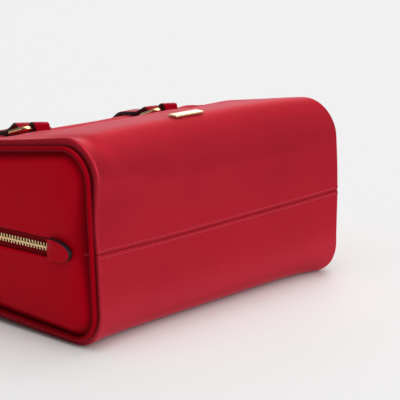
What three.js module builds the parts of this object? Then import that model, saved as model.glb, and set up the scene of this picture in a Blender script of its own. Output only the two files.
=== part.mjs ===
// A zip-top leather satchel with two short handles, lying on its back panel.
// x runs along the bag, y from its base towards its zipped top, z up from the table. Millimetres.
import * as THREE from "three";

// Body leather
const LENGTH = 240; // from one piped seam to the other
const HALF = LENGTH / 2;
const WALL = 2;
const GAP = 0.3; // kept between pieces that touch
const PIPING_RADIUS = 2.2;
const ROLL = 5.7; // the leather rolls this far past the piping
const ROLL_REACH = 12; // within this distance of the piped seam
const ROLL_POWER = 0.6; // under 1, so that it rises steeply beside the piping
const TABLE = 0.4; // height of the table, which presses flat the leather that would be lower
const SINK = 5; // the front lies this much lower at the right end
const SINK_TOP = 120; // from this height up
const PANEL_STEPS = 20; // facets along the bag
const PIPING_STEPS = 60;

// Outline of an end panel: its corners before they are rounded off, in order round from the zip
const CORNERS = [
  { place: "top front", y: 172, z: 103, radius: 40 },
  { place: "base front", y: 5.6, z: 128, radius: 27 },
  { place: "base back", y: 0, z: 5, radius: 18 },
  { place: "top back", y: 166, z: 10.5, radius: 44 },
];
const ZIP_LEVEL = 57; // height of the zip where it crosses the top
const SEAM_LEVEL = 62; // height of the seam along the base
const LINE_STEPS = 6; // facets on a straight stretch of the outline
const ARC_STEPS = 6; // facets on a corner

// How far the leather swells or sags halfway along the bag, by the share of the way round from the zip
const SWELL = [
  { place: "zip", share: 0, out: 0 },
  { place: "zip's slot", share: 0.03, out: 0 },
  { place: "top front edge", share: 0.11, out: -4 },
  { place: "front shoulder", share: 0.17, out: -7 },
  { place: "front middle", share: 0.25, out: -2 },
  { place: "front low", share: 0.345, out: 2 },
  { place: "base front edge", share: 0.4, out: -1.5 },
  { place: "base seam", share: 0.506, out: 1.5 },
  { place: "base back edge", share: 0.6, out: -3 },
  { place: "back, pressed on the table", share: 0.64, out: 0.8 },
  { place: "back, end of the pressed part", share: 0.7, out: 1.6 },
  { place: "back middle", share: 0.8, out: 0 },
  { place: "back", share: 1, out: 0 },
];
const DOME_POWER = 4; // the swell fades towards the ends
const DOME_TILT = 0.35; // and is stronger towards the right end

// Handle fittings
const FITTING_X = 63; // from the middle of the bag
const FITTING_FROM_ZIP = 81; // along the leather
const STRAP_WIDTH = 18;
const STRAP_THICK = 2;
const RING_WIRE = 1.7; // radius
const RING_WIDE = 23.6; // between the wires' middles
const RING_LONG = 18;
const RING_CORNER = 4;
const WIRE_CLEAR = 0.6; // of a strap folded round a wire
const TAB_CLEAR = 0.5; // of a tab over the curved leather
const RING_LIE = TAB_CLEAR + STRAP_THICK + WIRE_CLEAR + RING_WIRE; // the ring's height over the leather
const RING_STEPS = 28;
const WIRE_SIDES = 6;
const FOLD = RING_WIRE + WIRE_CLEAR + STRAP_THICK / 2; // radius of the strap's middle in the fold
const FOLD_STEPS = 6;
const TAB_LENGTH = 10.5; // past the ring's wire
const TAB_CLOSED = 7.5; // the tab's two layers lie together from here on
const TAIL_LENGTH = 24; // of the handle strap, stitched back under itself
const TAIL_CLOSED = 8; // its two layers lie together from here on
const LEG_LENGTH = 40; // straight stretch of a handle beside its ring
const LEG_CLOSED = 34; // past here the leg is one thickness
const GRIP_WIDTH = 14;
const GRIP_THICK = 7;
const GRIP_FULL = 0.6; // share of the bend after which the grip is full
const GRIP_STEPS = 10;

// Dents where the back panel lies on its fittings
const DENTS = [
  { x: FITTING_X, fromZip: -FITTING_FROM_ZIP - 5, depth: 7, wide: 34, long: 52 },
  { x: -FITTING_X, fromZip: -FITTING_FROM_ZIP - 5, depth: 7, wide: 34, long: 52 },
];

// Course of each handle past its ring: along the leather first, then free
const FRONT_LIE = [0, 9, 20, 32, 42];
const FRONT_FALL = [
  { run: 30, slope: 50 },
  { run: 30, slope: 57 },
  { run: 32, slope: 62 },
];
const BACK_LIE = [0];
const BACK_FALL = [
  { run: 34, slope: 0.3 },
  { run: 97, slope: 0.2 },
];
const LIE_HEIGHT = 3.1; // of the strap's middle over the leather

// End panels and zip
const END_EDGE = 0.4; // an end panel's outer face past the piped seam at its edge
const END_BULGE = 2.6; // and how much further at the zip
const END_RISE = 0.5; // share of the panel over which it rises
const END_STEPS = 5;
const SLOT_HALF = 6.25;
const SLOT_END = 32; // from the base
const SLOT_SHOULDER = 8; // leather beside the slot along the end panel's top edge
const TAPE_WIDTH = 10.5;
const TAPE_THICK = 1;
const TAPE_START = 20;
const TOP_CLEAR = 0.8; // under the curved leather of the top
const TAPE_BEND = 14; // radius where the zip turns over the top edge
const CHAIN_WIDTH = 5.5;
const CHAIN_THICK = 2;
const CHAIN_START = 36;
const ZIP_STEPS = [2, 5, 6, 5, 2]; // facets up one end, round the bend, along the top and down again
const END_TAB = { tip: 15.5, edge: 39, width: 16, thick: 2 };
const SLIDER = { start: 44, nose: 2, body: 11, tall: 3, pull: 26, pullThick: 1.5, width: 8 };

// Badge on the front
const BADGE = { x: -5, pastFront: 3.6, length: 29, width: 7, thick: 1.6, steps: 6 };

// Finishes
const RED_LEATHER = new THREE.MeshStandardMaterial({ color: 0xa01724, roughness: 0.42, metalness: 0 });
const TAPE_CLOTH = new THREE.MeshStandardMaterial({ color: 0x6f0d18, roughness: 0.9, metalness: 0 });
const GOLD = new THREE.MeshStandardMaterial({ color: 0xd9a95b, roughness: 0.28, metalness: 1 });

const QUARTER = Math.PI / 2;

const bag = new THREE.Group();

// Each piece follows the bag as it sinks towards its right end; a mirrored one is turned over in x
function add(name, geometry, material, mirrored = false) {
  const side = mirrored ? -1 : 1;
  const position = geometry.getAttribute("position");
  for (let i = 0; i < position.count; i++) {
    const share = (HALF + side * position.getX(i)) / LENGTH;
    const z = position.getZ(i);
    position.setZ(i, z - SINK * share * THREE.MathUtils.smoothstep(z, SEAM_LEVEL, SINK_TOP));
  }
  const mesh = new THREE.Mesh(geometry, material);
  mesh.name = name;
  mesh.scale.x = side;
  bag.add(mesh);
}

// Lines and arcs in one path: straight from the start to each arc, and from the last one to the end
function joined(start, arcs, end) {
  const path = new THREE.CurvePath();
  let from = start;
  for (const arc of arcs) {
    path.add(new THREE.LineCurve(from, arc.getPoint(0)));
    path.add(arc);
    from = arc.getPoint(1);
  }
  path.add(new THREE.LineCurve(from, end));
  return path;
}

function roundArc(x, y, radius, from, to, clockwise = false) {
  return new THREE.EllipseCurve(x, y, radius, radius, from, to, clockwise);
}

// A rounded corner as the arc that joins its two sides
function cornerArc(before, corner, after) {
  const at = new THREE.Vector2(corner.y, corner.z);
  const back = new THREE.Vector2(before.y, before.z).sub(at).normalize();
  const on = new THREE.Vector2(after.y, after.z).sub(at).normalize();
  const half = Math.acos(back.dot(on)) / 2;
  const reach = corner.radius / Math.tan(half);
  const middle = back.clone().add(on).normalize();
  const centre = at.clone().addScaledVector(middle, corner.radius / Math.sin(half));
  const start = at.clone().addScaledVector(back, reach).sub(centre);
  const end = at.clone().addScaledVector(on, reach).sub(centre);
  return roundArc(centre.x, centre.y, corner.radius, start.angle(), end.angle());
}

// The outline runs from the zip over the front, down the base and along the back to the zip again
function makeOutline() {
  const topFront = CORNERS[0];
  const topBack = CORNERS[3];
  const share = (ZIP_LEVEL - topBack.z) / (topFront.z - topBack.z);
  const zip = new THREE.Vector2(THREE.MathUtils.lerp(topBack.y, topFront.y, share), ZIP_LEVEL);
  const arcs = CORNERS.map((corner, i) => {
    const after = CORNERS[(i + 1) % CORNERS.length];
    return cornerArc(CORNERS.at(i - 1), corner, after);
  });
  const path = joined(zip, arcs, zip);
  return { path, zip, total: path.getLength(), ends: path.getCurveLengths() };
}

const outline = makeOutline();
const frontLineEnd = outline.ends[2];
const baseFrontEnd = outline.ends[3];
const baseLineEnd = outline.ends[4];
const baseLine = outline.path.curves[4];
const seamShare = (baseLine.v1.y - SEAM_LEVEL) / (baseLine.v1.y - baseLine.v2.y);
const seam = THREE.MathUtils.lerp(baseFrontEnd, baseLineEnd, seamShare);

// Distances along a path of lines and arcs, in even steps on each of its curves, between two limits
function stations(path, from, to) {
  const list = [from];
  let start = 0;
  path.curves.forEach((curve, i) => {
    const end = path.getCurveLengths()[i];
    const steps = curve.isEllipseCurve ? ARC_STEPS : LINE_STEPS;
    for (let k = 1; k <= steps; k++) {
      const at = THREE.MathUtils.lerp(Math.max(start, from), Math.min(end, to), k / steps);
      if (end > from && start < to) {
        list.push(at);
      }
    }
    start = end;
  });
  return list;
}

function swellAt(share) {
  const next = SWELL.findIndex((row, i) => i > 0 && share <= row.share);
  const low = SWELL[next - 1];
  const high = SWELL[next];
  const blend = THREE.MathUtils.smoothstep(share, low.share, high.share);
  return THREE.MathUtils.lerp(low.out, high.out, blend);
}

function dentAt(x, along) {
  return DENTS.reduce((sum, dent) => {
    const at = dent.fromZip < 0 ? outline.total + dent.fromZip : dent.fromZip;
    const wide = (x - dent.x) / dent.wide;
    const long = (along - at) / dent.long;
    return sum + dent.depth * Math.exp(-(wide ** 4) - long ** 4);
  }, 0);
}

// Outward direction of the outline at a distance along it
function outwardAt(along) {
  const tangent = outline.path.getTangent(along / outline.total);
  return new THREE.Vector2(tangent.y, -tangent.x);
}

// A point of the body leather, a depth inside its outer face
function bodyPoint(x, along, depth) {
  const at = outline.path.getPoint(along / outline.total);
  const outward = outwardAt(along);
  const rolled = Math.min(1, (HALF - Math.abs(x)) / ROLL_REACH) ** ROLL_POWER;
  const dome = (1 - (x / HALF) ** DOME_POWER) * (1 + (DOME_TILT * x) / HALF);
  const swell = swellAt(along / outline.total) * dome;
  const out = ROLL * Math.sin(rolled * QUARTER) + swell - dentAt(x, along) - depth;
  at.addScaledVector(outward, out);
  return new THREE.Vector3(x, at.x, Math.max(at.y, TABLE + Math.max(depth, 0)));
}

// A box bent to a shape: the map takes each point's three shares of the box
function bentBox(steps, map) {
  const geometry = new THREE.BoxGeometry(1, 1, 1, ...steps);
  const position = geometry.getAttribute("position");
  for (let i = 0; i < position.count; i++) {
    const point = map(position.getX(i) + 0.5, position.getY(i) + 0.5, position.getZ(i) + 0.5);
    position.setXYZ(i, point.x, point.y, point.z);
  }
  return geometry;
}

// A ribbon through stations, each with a centre, a direction across it, a width and a thickness
function ribbon(list) {
  const last = list.length - 1;
  const frames = list.map((station, i) => {
    const along = list[Math.min(i + 1, last)].centre.clone().sub(list[Math.max(i - 1, 0)].centre);
    const across = station.across.clone().normalize();
    const up = along.clone().cross(across).normalize();
    across.multiplyScalar(station.width);
    return { centre: station.centre, across, up: up.multiplyScalar(station.thick) };
  });
  return bentBox([last, 1, 1], (a, b, c) => {
    const frame = frames[Math.round(a * last)];
    return frame.centre.clone().addScaledVector(frame.across, b - 0.5).addScaledVector(frame.up, c - 0.5);
  });
}

// Front and back panels, from the slot of the zip to the seam along the base
function bodyPanel(from, to) {
  const list = stations(outline.path, from, to);
  const steps = list.length - 1;
  const reach = HALF - PIPING_RADIUS - GAP;
  return bentBox([PANEL_STEPS, steps, 1], (a, b, c) => {
    const x = reach * Math.sin((a - 0.5) * Math.PI);
    return bodyPoint(x, list[Math.round((1 - b) * steps)], (1 - c) * WALL);
  });
}

add("front_panel", bodyPanel(SLOT_HALF, seam - GAP / 2), RED_LEATHER);
add("back_panel", bodyPanel(seam + GAP / 2, outline.total - SLOT_HALF), RED_LEATHER);

// The zip's line on an end panel, from the base seam to the middle of the top
function zipLevel(y) {
  return THREE.MathUtils.lerp(SEAM_LEVEL, ZIP_LEVEL, y / outline.zip.x);
}

// End panel: a band between the piping and the slot, which is a U open at the top
function endPanel() {
  const inset = PIPING_RADIUS + GAP;
  const topEdge = outline.zip.x - inset;
  const margin = SLOT_HALF + SLOT_SHOULDER;
  const outer = stations(outline.path, margin, outline.total - margin);
  const slotTurn = roundArc(SLOT_END + SLOT_HALF, 0, SLOT_HALF, QUARTER, 3 * QUARTER);
  const slotStart = new THREE.Vector2(topEdge, SLOT_HALF);
  const slot = joined(slotStart, [slotTurn], new THREE.Vector2(topEdge, -SLOT_HALF));
  const steps = outer.length - 1;
  return bentBox([steps, END_STEPS, 1], (a, b, c) => {
    const along = outer[Math.round(a * steps)];
    const rim = outline.path.getPoint(along / outline.total).addScaledVector(outwardAt(along), -inset);
    const inner = slot.getPoint(a);
    inner.y += zipLevel(inner.x);
    const at = rim.lerp(inner, 1 - b);
    const rise = Math.sin(Math.min(1, (1 - b) / END_RISE) * QUARTER);
    return new THREE.Vector3(-HALF - END_EDGE - END_BULGE * rise + (1 - c) * WALL, at.x, at.y);
  });
}

add("end_panel_left", endPanel(), RED_LEATHER);
add("end_panel_right", endPanel(), RED_LEATHER, true);

// Piping round an end panel, from one edge of the slot to the other
class PipingLine extends THREE.Curve {
  getPoint(share) {
    const along = THREE.MathUtils.lerp(SLOT_HALF, outline.total - SLOT_HALF, share);
    const at = outline.path.getPoint(along / outline.total);
    return new THREE.Vector3(-HALF, at.x, at.y);
  }
}

function piping() {
  const section = new THREE.Shape().absarc(0, 0, PIPING_RADIUS, 0, 2 * Math.PI);
  const options = { steps: PIPING_STEPS, curveSegments: 2, extrudePath: new PipingLine() };
  return new THREE.ExtrudeGeometry(section, options);
}

add("piping_left", piping(), RED_LEATHER);
add("piping_right", piping(), RED_LEATHER, true);

// The zip runs up one end panel, over the top and down the other: a band a given height over its tapes
function zipBand(start, side, width, thick, over) {
  const endX = HALF + END_EDGE + END_BULGE - WALL - GAP - TAPE_THICK / 2 + over;
  const topY = outline.zip.x + ROLL - WALL - TOP_CLEAR - TAPE_THICK / 2 + over;
  const bend = TAPE_BEND + over;
  const turns = [
    roundArc(bend - endX, topY - bend, bend, 2 * QUARTER, QUARTER, true),
    roundArc(endX - bend, topY - bend, bend, QUARTER, 0, true),
  ];
  const path = joined(new THREE.Vector2(-endX, start), turns, new THREE.Vector2(endX, start));
  const points = path.curves.flatMap((curve, i) => {
    return curve.getPoints(ZIP_STEPS[i]).slice(i === 0 ? 0 : 1);
  });
  const lean = outline.path.getTangent(0);
  const across = new THREE.Vector3(0, -lean.x, -lean.y);
  return ribbon(points.map((at) => {
    const centre = new THREE.Vector3(at.x, at.y, zipLevel(at.y)).addScaledVector(across, -side);
    return { centre, across, width, thick };
  }));
}

const tapeSide = (TAPE_WIDTH + GAP) / 2;
const chainOver = TAPE_THICK / 2 + GAP + CHAIN_THICK / 2;
add("zip_tape_front", zipBand(TAPE_START, tapeSide, TAPE_WIDTH, TAPE_THICK, 0), TAPE_CLOTH);
add("zip_tape_back", zipBand(TAPE_START, -tapeSide, TAPE_WIDTH, TAPE_THICK, 0), TAPE_CLOTH);
add("zip_chain", zipBand(CHAIN_START, 0, CHAIN_WIDTH, CHAIN_THICK, chainOver), GOLD);

// Half-round tab over an end of the zip
function zipEndTab() {
  const radius = END_TAB.width / 2;
  const shape = new THREE.Shape();
  shape.moveTo(END_TAB.edge, radius);
  shape.lineTo(END_TAB.tip + radius, radius);
  shape.absarc(END_TAB.tip + radius, 0, radius, QUARTER, 3 * QUARTER);
  shape.lineTo(END_TAB.edge, -radius);
  const options = { depth: END_TAB.thick, bevelEnabled: false, curveSegments: 6 };
  const geometry = new THREE.ExtrudeGeometry(shape, options);
  const seat = -HALF - END_EDGE - END_BULGE - GAP;
  const turn = new THREE.Matrix4().makeBasis(
    new THREE.Vector3(0, 1, 0), new THREE.Vector3(0, 0, -1), new THREE.Vector3(-1, 0, 0));
  turn.setPosition(seat, 0, zipLevel((END_TAB.tip + END_TAB.edge) / 2));
  return geometry.applyMatrix4(turn);
}

add("zip_end_tab_left", zipEndTab(), RED_LEATHER);
add("zip_end_tab_right", zipEndTab(), RED_LEATHER, true);

// Slider with its pull laid along the zip, on the right end panel
function zipSlider() {
  const top = SLIDER.start + SLIDER.body;
  const shape = new THREE.Shape();
  shape.moveTo(0, SLIDER.start);
  shape.lineTo(SLIDER.tall, SLIDER.start + SLIDER.nose);
  shape.lineTo(SLIDER.tall, top + SLIDER.pull);
  shape.lineTo(SLIDER.tall - SLIDER.pullThick, top + SLIDER.pull);
  shape.lineTo(SLIDER.tall - SLIDER.pullThick, top);
  shape.lineTo(0, top);
  const geometry = new THREE.ExtrudeGeometry(shape, { depth: SLIDER.width, bevelEnabled: false });
  const seat = HALF + END_EDGE + END_BULGE + GAP;
  return geometry.translate(seat, 0, zipLevel(top) - SLIDER.width / 2);
}

add("zip_slider", zipSlider(), GOLD);

// A place on the leather beside a fitting: aside along the bag, along towards the zip, out of the leather
function fittingPoint(x, front, aside, along, out) {
  const fromZip = FITTING_FROM_ZIP - along;
  return bodyPoint(x + aside, front ? fromZip : outline.total - fromZip, -out);
}

// A ring's own axes: its middle, and the directions across it, towards the zip and out
function ringFrame(x, front) {
  const near = fittingPoint(x, front, 0, -RING_LONG / 2, RING_LIE);
  const far = fittingPoint(x, front, 0, RING_LONG / 2, RING_LIE);
  const left = fittingPoint(x, front, -RING_WIDE / 2, 0, RING_LIE);
  const right = fittingPoint(x, front, RING_WIDE / 2, 0, RING_LIE);
  const toZip = far.clone().sub(near).normalize();
  const across = right.sub(left).normalize().multiplyScalar(front ? 1 : -1);
  const out = across.clone().cross(toZip);
  return { origin: near.lerp(far, 0.5), across, toZip, out };
}

// Ring: a wire bent to a rounded rectangle
function ring(frame) {
  const wide = RING_WIDE / 2 - RING_CORNER;
  const long = RING_LONG / 2 - RING_CORNER;
  const turns = [[wide, long], [-wide, long], [-wide, -long], [wide, -long]].map(
    ([x, y], i) => roundArc(x, y, RING_CORNER, i * QUARTER, (i + 1) * QUARTER));
  const start = new THREE.Vector2(RING_WIDE / 2, 0);
  const line = joined(start, turns, start);
  const geometry = new THREE.TorusGeometry(1, 0.5, WIRE_SIDES, RING_STEPS);
  const share = geometry.getAttribute("uv");
  const position = geometry.getAttribute("position");
  for (let i = 0; i < position.count; i++) {
    const at = line.getPoint(share.getX(i) % 1);
    const tangent = line.getTangent(share.getX(i) % 1);
    const turn = share.getY(i) * 2 * Math.PI;
    const side = RING_WIRE * Math.cos(turn);
    const point = frame.origin.clone()
      .addScaledVector(frame.across, at.x + tangent.y * side)
      .addScaledVector(frame.toZip, at.y - tangent.x * side)
      .addScaledVector(frame.out, RING_WIRE * Math.sin(turn));
    position.setXYZ(i, point.x, point.y, point.z);
  }
  return geometry;
}

// Points of a strap's fold round a wire, from under it to over it, on the side that the sign gives
function foldPoints(sign) {
  return Array.from({ length: FOLD_STEPS + 1 }, (_, i) => {
    const turn = Math.PI * (i / FOLD_STEPS - 0.5);
    return { along: sign * FOLD * Math.cos(turn), out: FOLD * Math.sin(turn) };
  });
}

// Tab: a strap sewn to the panel at both ends, folded round the ring's near wire
function handleTab(x, front) {
  const wire = -RING_LONG / 2;
  const under = TAB_CLEAR + STRAP_THICK / 2;
  const over = under + STRAP_THICK + GAP;
  const course = [
    { along: wire - TAB_LENGTH, out: under },
    { along: wire - TAB_LENGTH / 2, out: under },
    ...foldPoints(1).map((at) => ({ along: wire + at.along, out: RING_LIE + at.out })),
    { along: wire - FOLD, out: RING_LIE + FOLD - STRAP_THICK / 2 },
    { along: wire - TAB_CLOSED, out: over },
    { along: wire - TAB_LENGTH, out: over },
  ];
  return ribbon(course.map((at) => {
    const left = fittingPoint(x, front, -STRAP_WIDTH / 2, at.along, at.out);
    const right = fittingPoint(x, front, STRAP_WIDTH / 2, at.along, at.out);
    const across = right.clone().sub(left);
    return { centre: left.lerp(right, 0.5), across, width: STRAP_WIDTH, thick: STRAP_THICK };
  }));
}

// Course of a handle seen from the end: from the ring along the leather, then free
function handleCourse(x, front, lie, fall) {
  const points = lie.map((past) => {
    const height = past === 0 ? RING_LIE : LIE_HEIGHT;
    const at = fittingPoint(x, front, 0, RING_LONG / 2 + past, height);
    return new THREE.Vector2(at.y, at.z);
  });
  fall.forEach(({ run, slope }) => {
    const turn = THREE.MathUtils.degToRad(slope);
    const step = new THREE.Vector2(run * Math.cos(turn), -run * Math.sin(turn));
    points.push(step.add(points.at(-1)));
  });
  return new THREE.SplineCurve(points);
}

// A point beside a handle's course, and the direction out of the strap there
function besideCourse(course, along, out) {
  const reach = course.getLength();
  const share = THREE.MathUtils.clamp(along / reach, 0, 1);
  const tangent = course.getTangentAt(share);
  const outward = new THREE.Vector2(-tangent.y, tangent.x);
  const at = course.getPointAt(share).addScaledVector(tangent, along - share * reach);
  return { at: at.addScaledVector(outward, out), outward };
}

// Handle: tail, fold round the ring's far wire, leg and grip, and the same again the other way
function handle(front, lie, fall) {
  const [leftCourse, rightCourse] = [-FITTING_X, FITTING_X].map((x) => handleCourse(x, front, lie, fall));
  const reach = rightCourse.getLength();
  const up = front ? 1 : -1; // the strap's outer face is turned away from the leather
  const layer = (STRAP_THICK + GAP) / 2;
  const sheet = (x, along, out) => {
    const share = (x + FITTING_X) / (2 * FITTING_X);
    const left = besideCourse(leftCourse, along, up * out);
    const right = besideCourse(rightCourse, along, up * out);
    const at = left.at.lerp(right.at, share);
    const outward = left.outward.lerp(right.outward, share);
    return { centre: new THREE.Vector3(x, at.x, at.y), out: new THREE.Vector3(0, outward.x, outward.y) };
  };
  const strap = { x: -FITTING_X, width: STRAP_WIDTH, thick: STRAP_THICK };
  const half = [
    { ...strap, along: TAIL_LENGTH, out: -layer },
    { ...strap, along: TAIL_CLOSED, out: -layer },
    ...foldPoints(-1).map((at) => ({ ...strap, ...at })),
    { ...strap, along: TAIL_CLOSED, out: layer },
    { ...strap, along: TAIL_LENGTH + 1, out: layer },
    { ...strap, along: LEG_CLOSED, out: 0, thick: 2 * layer + STRAP_THICK },
  ];
  for (let i = 0; i <= GRIP_STEPS; i++) {
    const turn = (i / GRIP_STEPS) * QUARTER;
    const grip = THREE.MathUtils.smoothstep(i / GRIP_STEPS, 0, GRIP_FULL);
    half.push({
      x: -FITTING_X * Math.cos(turn),
      along: LEG_LENGTH + (reach - LEG_LENGTH - GRIP_WIDTH / 2) * Math.sin(turn),
      out: 0,
      width: THREE.MathUtils.lerp(STRAP_WIDTH, GRIP_WIDTH, grip),
      thick: THREE.MathUtils.lerp(2 * layer + STRAP_THICK, GRIP_THICK, grip),
    });
  }
  const whole = [...half, ...half.slice(0, -1).reverse().map((at) => ({ ...at, x: -at.x }))];
  const placed = whole.map((at) => ({ ...at, ...sheet(at.x, at.along, at.out) }));
  return ribbon(placed.map((at, i) => {
    const before = placed[Math.max(i - 1, 0)].centre;
    const after = placed[Math.min(i + 1, placed.length - 1)].centre;
    const hand = Math.sign(at.x);
    let across = new THREE.Vector3().crossVectors(at.out, after.clone().sub(before));
    if (at.along < TAIL_CLOSED) {
      across = ringFrame(hand * FITTING_X, front).across.multiplyScalar(up * hand);
    } else if (Math.abs(at.x) > FITTING_X - GAP) {
      across = new THREE.Vector3(hand, 0, 0);
    }
    return { centre: at.centre, across, width: at.width, thick: at.thick };
  }));
}

for (const [side, front] of [["front", true], ["back", false]]) {
  for (const [hand, x] of [["left", -FITTING_X], ["right", FITTING_X]]) {
    add(`handle_ring_${side}_${hand}`, ring(ringFrame(x, front)), GOLD);
    add(`handle_tab_${side}_${hand}`, handleTab(x, front), RED_LEATHER);
  }
}
add("handle_front", handle(true, FRONT_LIE, FRONT_FALL), RED_LEATHER);
add("handle_back", handle(false, BACK_LIE, BACK_FALL), RED_LEATHER);

// Badge: a plain metal bar that follows the front panel
function badge() {
  const along = frontLineEnd + BADGE.pastFront;
  return bentBox([BADGE.steps, 2, 1], (a, b, c) => bodyPoint(
    BADGE.x + (a - 0.5) * BADGE.length,
    along + (0.5 - b) * BADGE.width,
    -GAP - c * BADGE.thick,
  ));
}

add("front_badge", badge(), GOLD);

// The origin is under the middle of the whole, on the table
const box = new THREE.Box3().setFromObject(bag);
bag.position.set(0, -(box.min.y + box.max.y) / 2, -box.min.z);
const satchel = new THREE.Group();
satchel.add(bag);

export default satchel;
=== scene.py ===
"""Zip-top leather satchel lying on its back panel: the visual model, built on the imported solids."""

import math

import bmesh
import bpy
from mathutils import Matrix, Vector


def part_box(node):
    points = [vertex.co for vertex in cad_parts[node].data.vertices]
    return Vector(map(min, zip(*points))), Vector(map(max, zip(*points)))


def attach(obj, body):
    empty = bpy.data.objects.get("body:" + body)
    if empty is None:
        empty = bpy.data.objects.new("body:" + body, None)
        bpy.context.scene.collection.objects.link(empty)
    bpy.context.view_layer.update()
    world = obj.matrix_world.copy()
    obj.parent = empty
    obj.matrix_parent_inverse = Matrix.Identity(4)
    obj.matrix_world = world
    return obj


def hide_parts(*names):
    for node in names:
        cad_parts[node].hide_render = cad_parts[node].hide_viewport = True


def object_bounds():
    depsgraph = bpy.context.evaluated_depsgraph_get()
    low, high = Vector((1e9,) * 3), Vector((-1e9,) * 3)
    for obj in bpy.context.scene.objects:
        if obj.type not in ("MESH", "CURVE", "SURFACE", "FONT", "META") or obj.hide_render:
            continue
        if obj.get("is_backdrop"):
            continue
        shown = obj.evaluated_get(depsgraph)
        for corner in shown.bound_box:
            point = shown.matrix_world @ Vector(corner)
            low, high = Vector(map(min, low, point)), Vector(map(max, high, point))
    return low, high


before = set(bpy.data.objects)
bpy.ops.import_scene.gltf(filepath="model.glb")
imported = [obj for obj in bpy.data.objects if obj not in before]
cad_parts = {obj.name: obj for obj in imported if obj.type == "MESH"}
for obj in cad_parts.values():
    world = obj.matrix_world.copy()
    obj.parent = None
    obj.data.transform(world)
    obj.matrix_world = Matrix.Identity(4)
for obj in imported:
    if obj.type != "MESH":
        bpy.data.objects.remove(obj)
CAD_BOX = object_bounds()

bl_info = {
    "name": "Leather Satchel",
    "version": (1, 0, 0),
    "blender": (4, 5, 0),
    "location": "View3D > Sidebar > Satchel",
    "description": "Builds a zip-top leather satchel with two handles, and a stage to show it on",
    "category": "Add Mesh",
}

MM = 0.001
TINY = 1e-9
WELD = 0.001 * MM  # points closer than this become one
THREAD = 0.42 * MM  # radius of the sewing thread
QUARTER = math.pi / 2
TURN = 2 * math.pi
BODY = "root"
ENDS = {"left": 1, "right": -1}  # the right end is the left one turned over in x
HANDS = {"left": -1, "right": 1}  # which way along the bag a handle's two fittings lie

# Outline of the bag: its corners in order round from the zip, halfway along the bag and at its ends
CORNERS = (
    {"place": "top front", "y": 172, "z": 103, "radius": 40, "end_z": 103, "end_radius": 40},
    {"place": "base front", "y": 5.6, "z": 128, "radius": 27, "end_z": 128, "end_radius": 20},
    {"place": "base back", "y": 0, "z": 5.5, "radius": 8, "end_z": 5, "end_radius": 18},
    {"place": "top back", "y": 166, "z": 10.5, "radius": 44, "end_z": 10.5, "end_radius": 44},
)
END_SHAPE_POWER = 3  # how late the outline takes the shape of its ends
ZIP_LEVEL = 57 * MM
SEAM_LEVEL = 62 * MM

# How far the leather swells or sags halfway along the bag, by the share of the way round from the zip
SWELL = (
    {"place": "zip", "share": 0, "out": 0},
    {"place": "zip's slot", "share": 0.03, "out": 0},
    {"place": "top front edge", "share": 0.11, "out": -2.5},
    {"place": "front shoulder", "share": 0.15, "out": -8.5},
    {"place": "front middle", "share": 0.215, "out": -0.5},
    {"place": "front low", "share": 0.345, "out": 2},
    {"place": "base front edge", "share": 0.4, "out": -1.5},
    {"place": "base seam", "share": 0.506, "out": 0.8},
    {"place": "base low", "share": 0.58, "out": 1},
    {"place": "base back edge", "share": 0.62, "out": 0},
    {"place": "back, pressed on the table", "share": 0.66, "out": 1},
    {"place": "back, end of the pressed part", "share": 0.72, "out": 2},
    {"place": "back middle", "share": 0.82, "out": 0},
    {"place": "back", "share": 1, "out": 0},
)
DOME_POWER = 4  # how late the swelling ends towards the ends of the bag
DOME_TILT = 0.35  # how much more the leather swells at the right end

# Soft folds near the ends: their middles, heights out of the leather and half sizes
FOLDS = (
    {"place": "crest of the roll", "x": -115, "past_front": 10, "out": 1, "wide": 2.6, "long": 28},
    {"place": "valley behind the crest", "x": -104, "past_front": -4, "out": -1.6, "wide": 6, "long": 26},
    {"place": "fall of the base", "x": -120, "past_front": 84, "out": -2.4, "wide": 34, "long": 48},
    {"place": "ridge over the hollow", "x": -94, "past_front": 34, "out": 1.6, "wide": 30, "long": 13},
    {"place": "hollow over the base seam", "x": -96, "past_front": 62, "out": -2.6, "wide": 30, "long": 16},
    {"place": "full far lower corner", "x": 112, "past_front": 138, "out": 1, "wide": 14, "long": 14},
    {"place": "slack over the far end", "x": 108, "past_front": -108, "out": -2.5, "wide": 14, "long": 24},
)
PATCH_POWER = 4  # patches of leather under the fittings are flat, with steep sides
FITTING_TILT = 0.1  # slope of the leather under a handle's ring, down to the right
FITTING_TILT_WIDE = 20 * MM
FITTING_TILT_LONG = 32 * MM

# Places on the leather that get less light, from the middle of the bag and past the front's end
SHADED = (
    {"place": "near part of the base", "x": -110, "past_front": 90, "dark": 0.08, "wide": 45, "long": 45},
    {"place": "hollow over the base seam", "x": -98, "past_front": 56, "dark": 0.12, "wide": 26, "long": 16},
    {"place": "far part over the seam", "x": 60, "past_front": 50, "dark": 0.09, "wide": 90, "long": 30},
    {"place": "near part of the front", "x": -70, "past_front": -50, "dark": 0.14, "wide": 50, "long": 50},
)

# The leather beside the piping, at the left end (-1) and at the right end (1)
GATHER = {-1: 0, 1: 2.5 * MM}  # how far the outline is drawn in
GATHER_POWER = 8
ROLL_REACH = {-1: 4.4 * MM, 1: 7 * MM}  # from the end to where the leather has its full height
ROLL_POWER = {-1: 3.2, 1: 2.2}
ROLL_DIP = 1.2 * MM  # the leather goes down to its seam beside the piping
EDGE_TURN = 1.6 * MM  # radius of a turned edge
SEAM_TURN = 0.8 * MM  # and of the edges at the base seam

# How the bag rests on the table
TABLE = 0.4 * MM
TUCK = 15 * MM  # the base is tucked back towards its lower edge
TUCK_TOP = 60 * MM
TUCK_POWER = 1.3
TUCK_DEEP = 100 * MM
LEAN = 2 * MM  # the right end leans in towards the table
LEAN_LOW = 20 * MM
LEAN_HIGH = 90 * MM
SINK_TOP = 120 * MM

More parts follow.
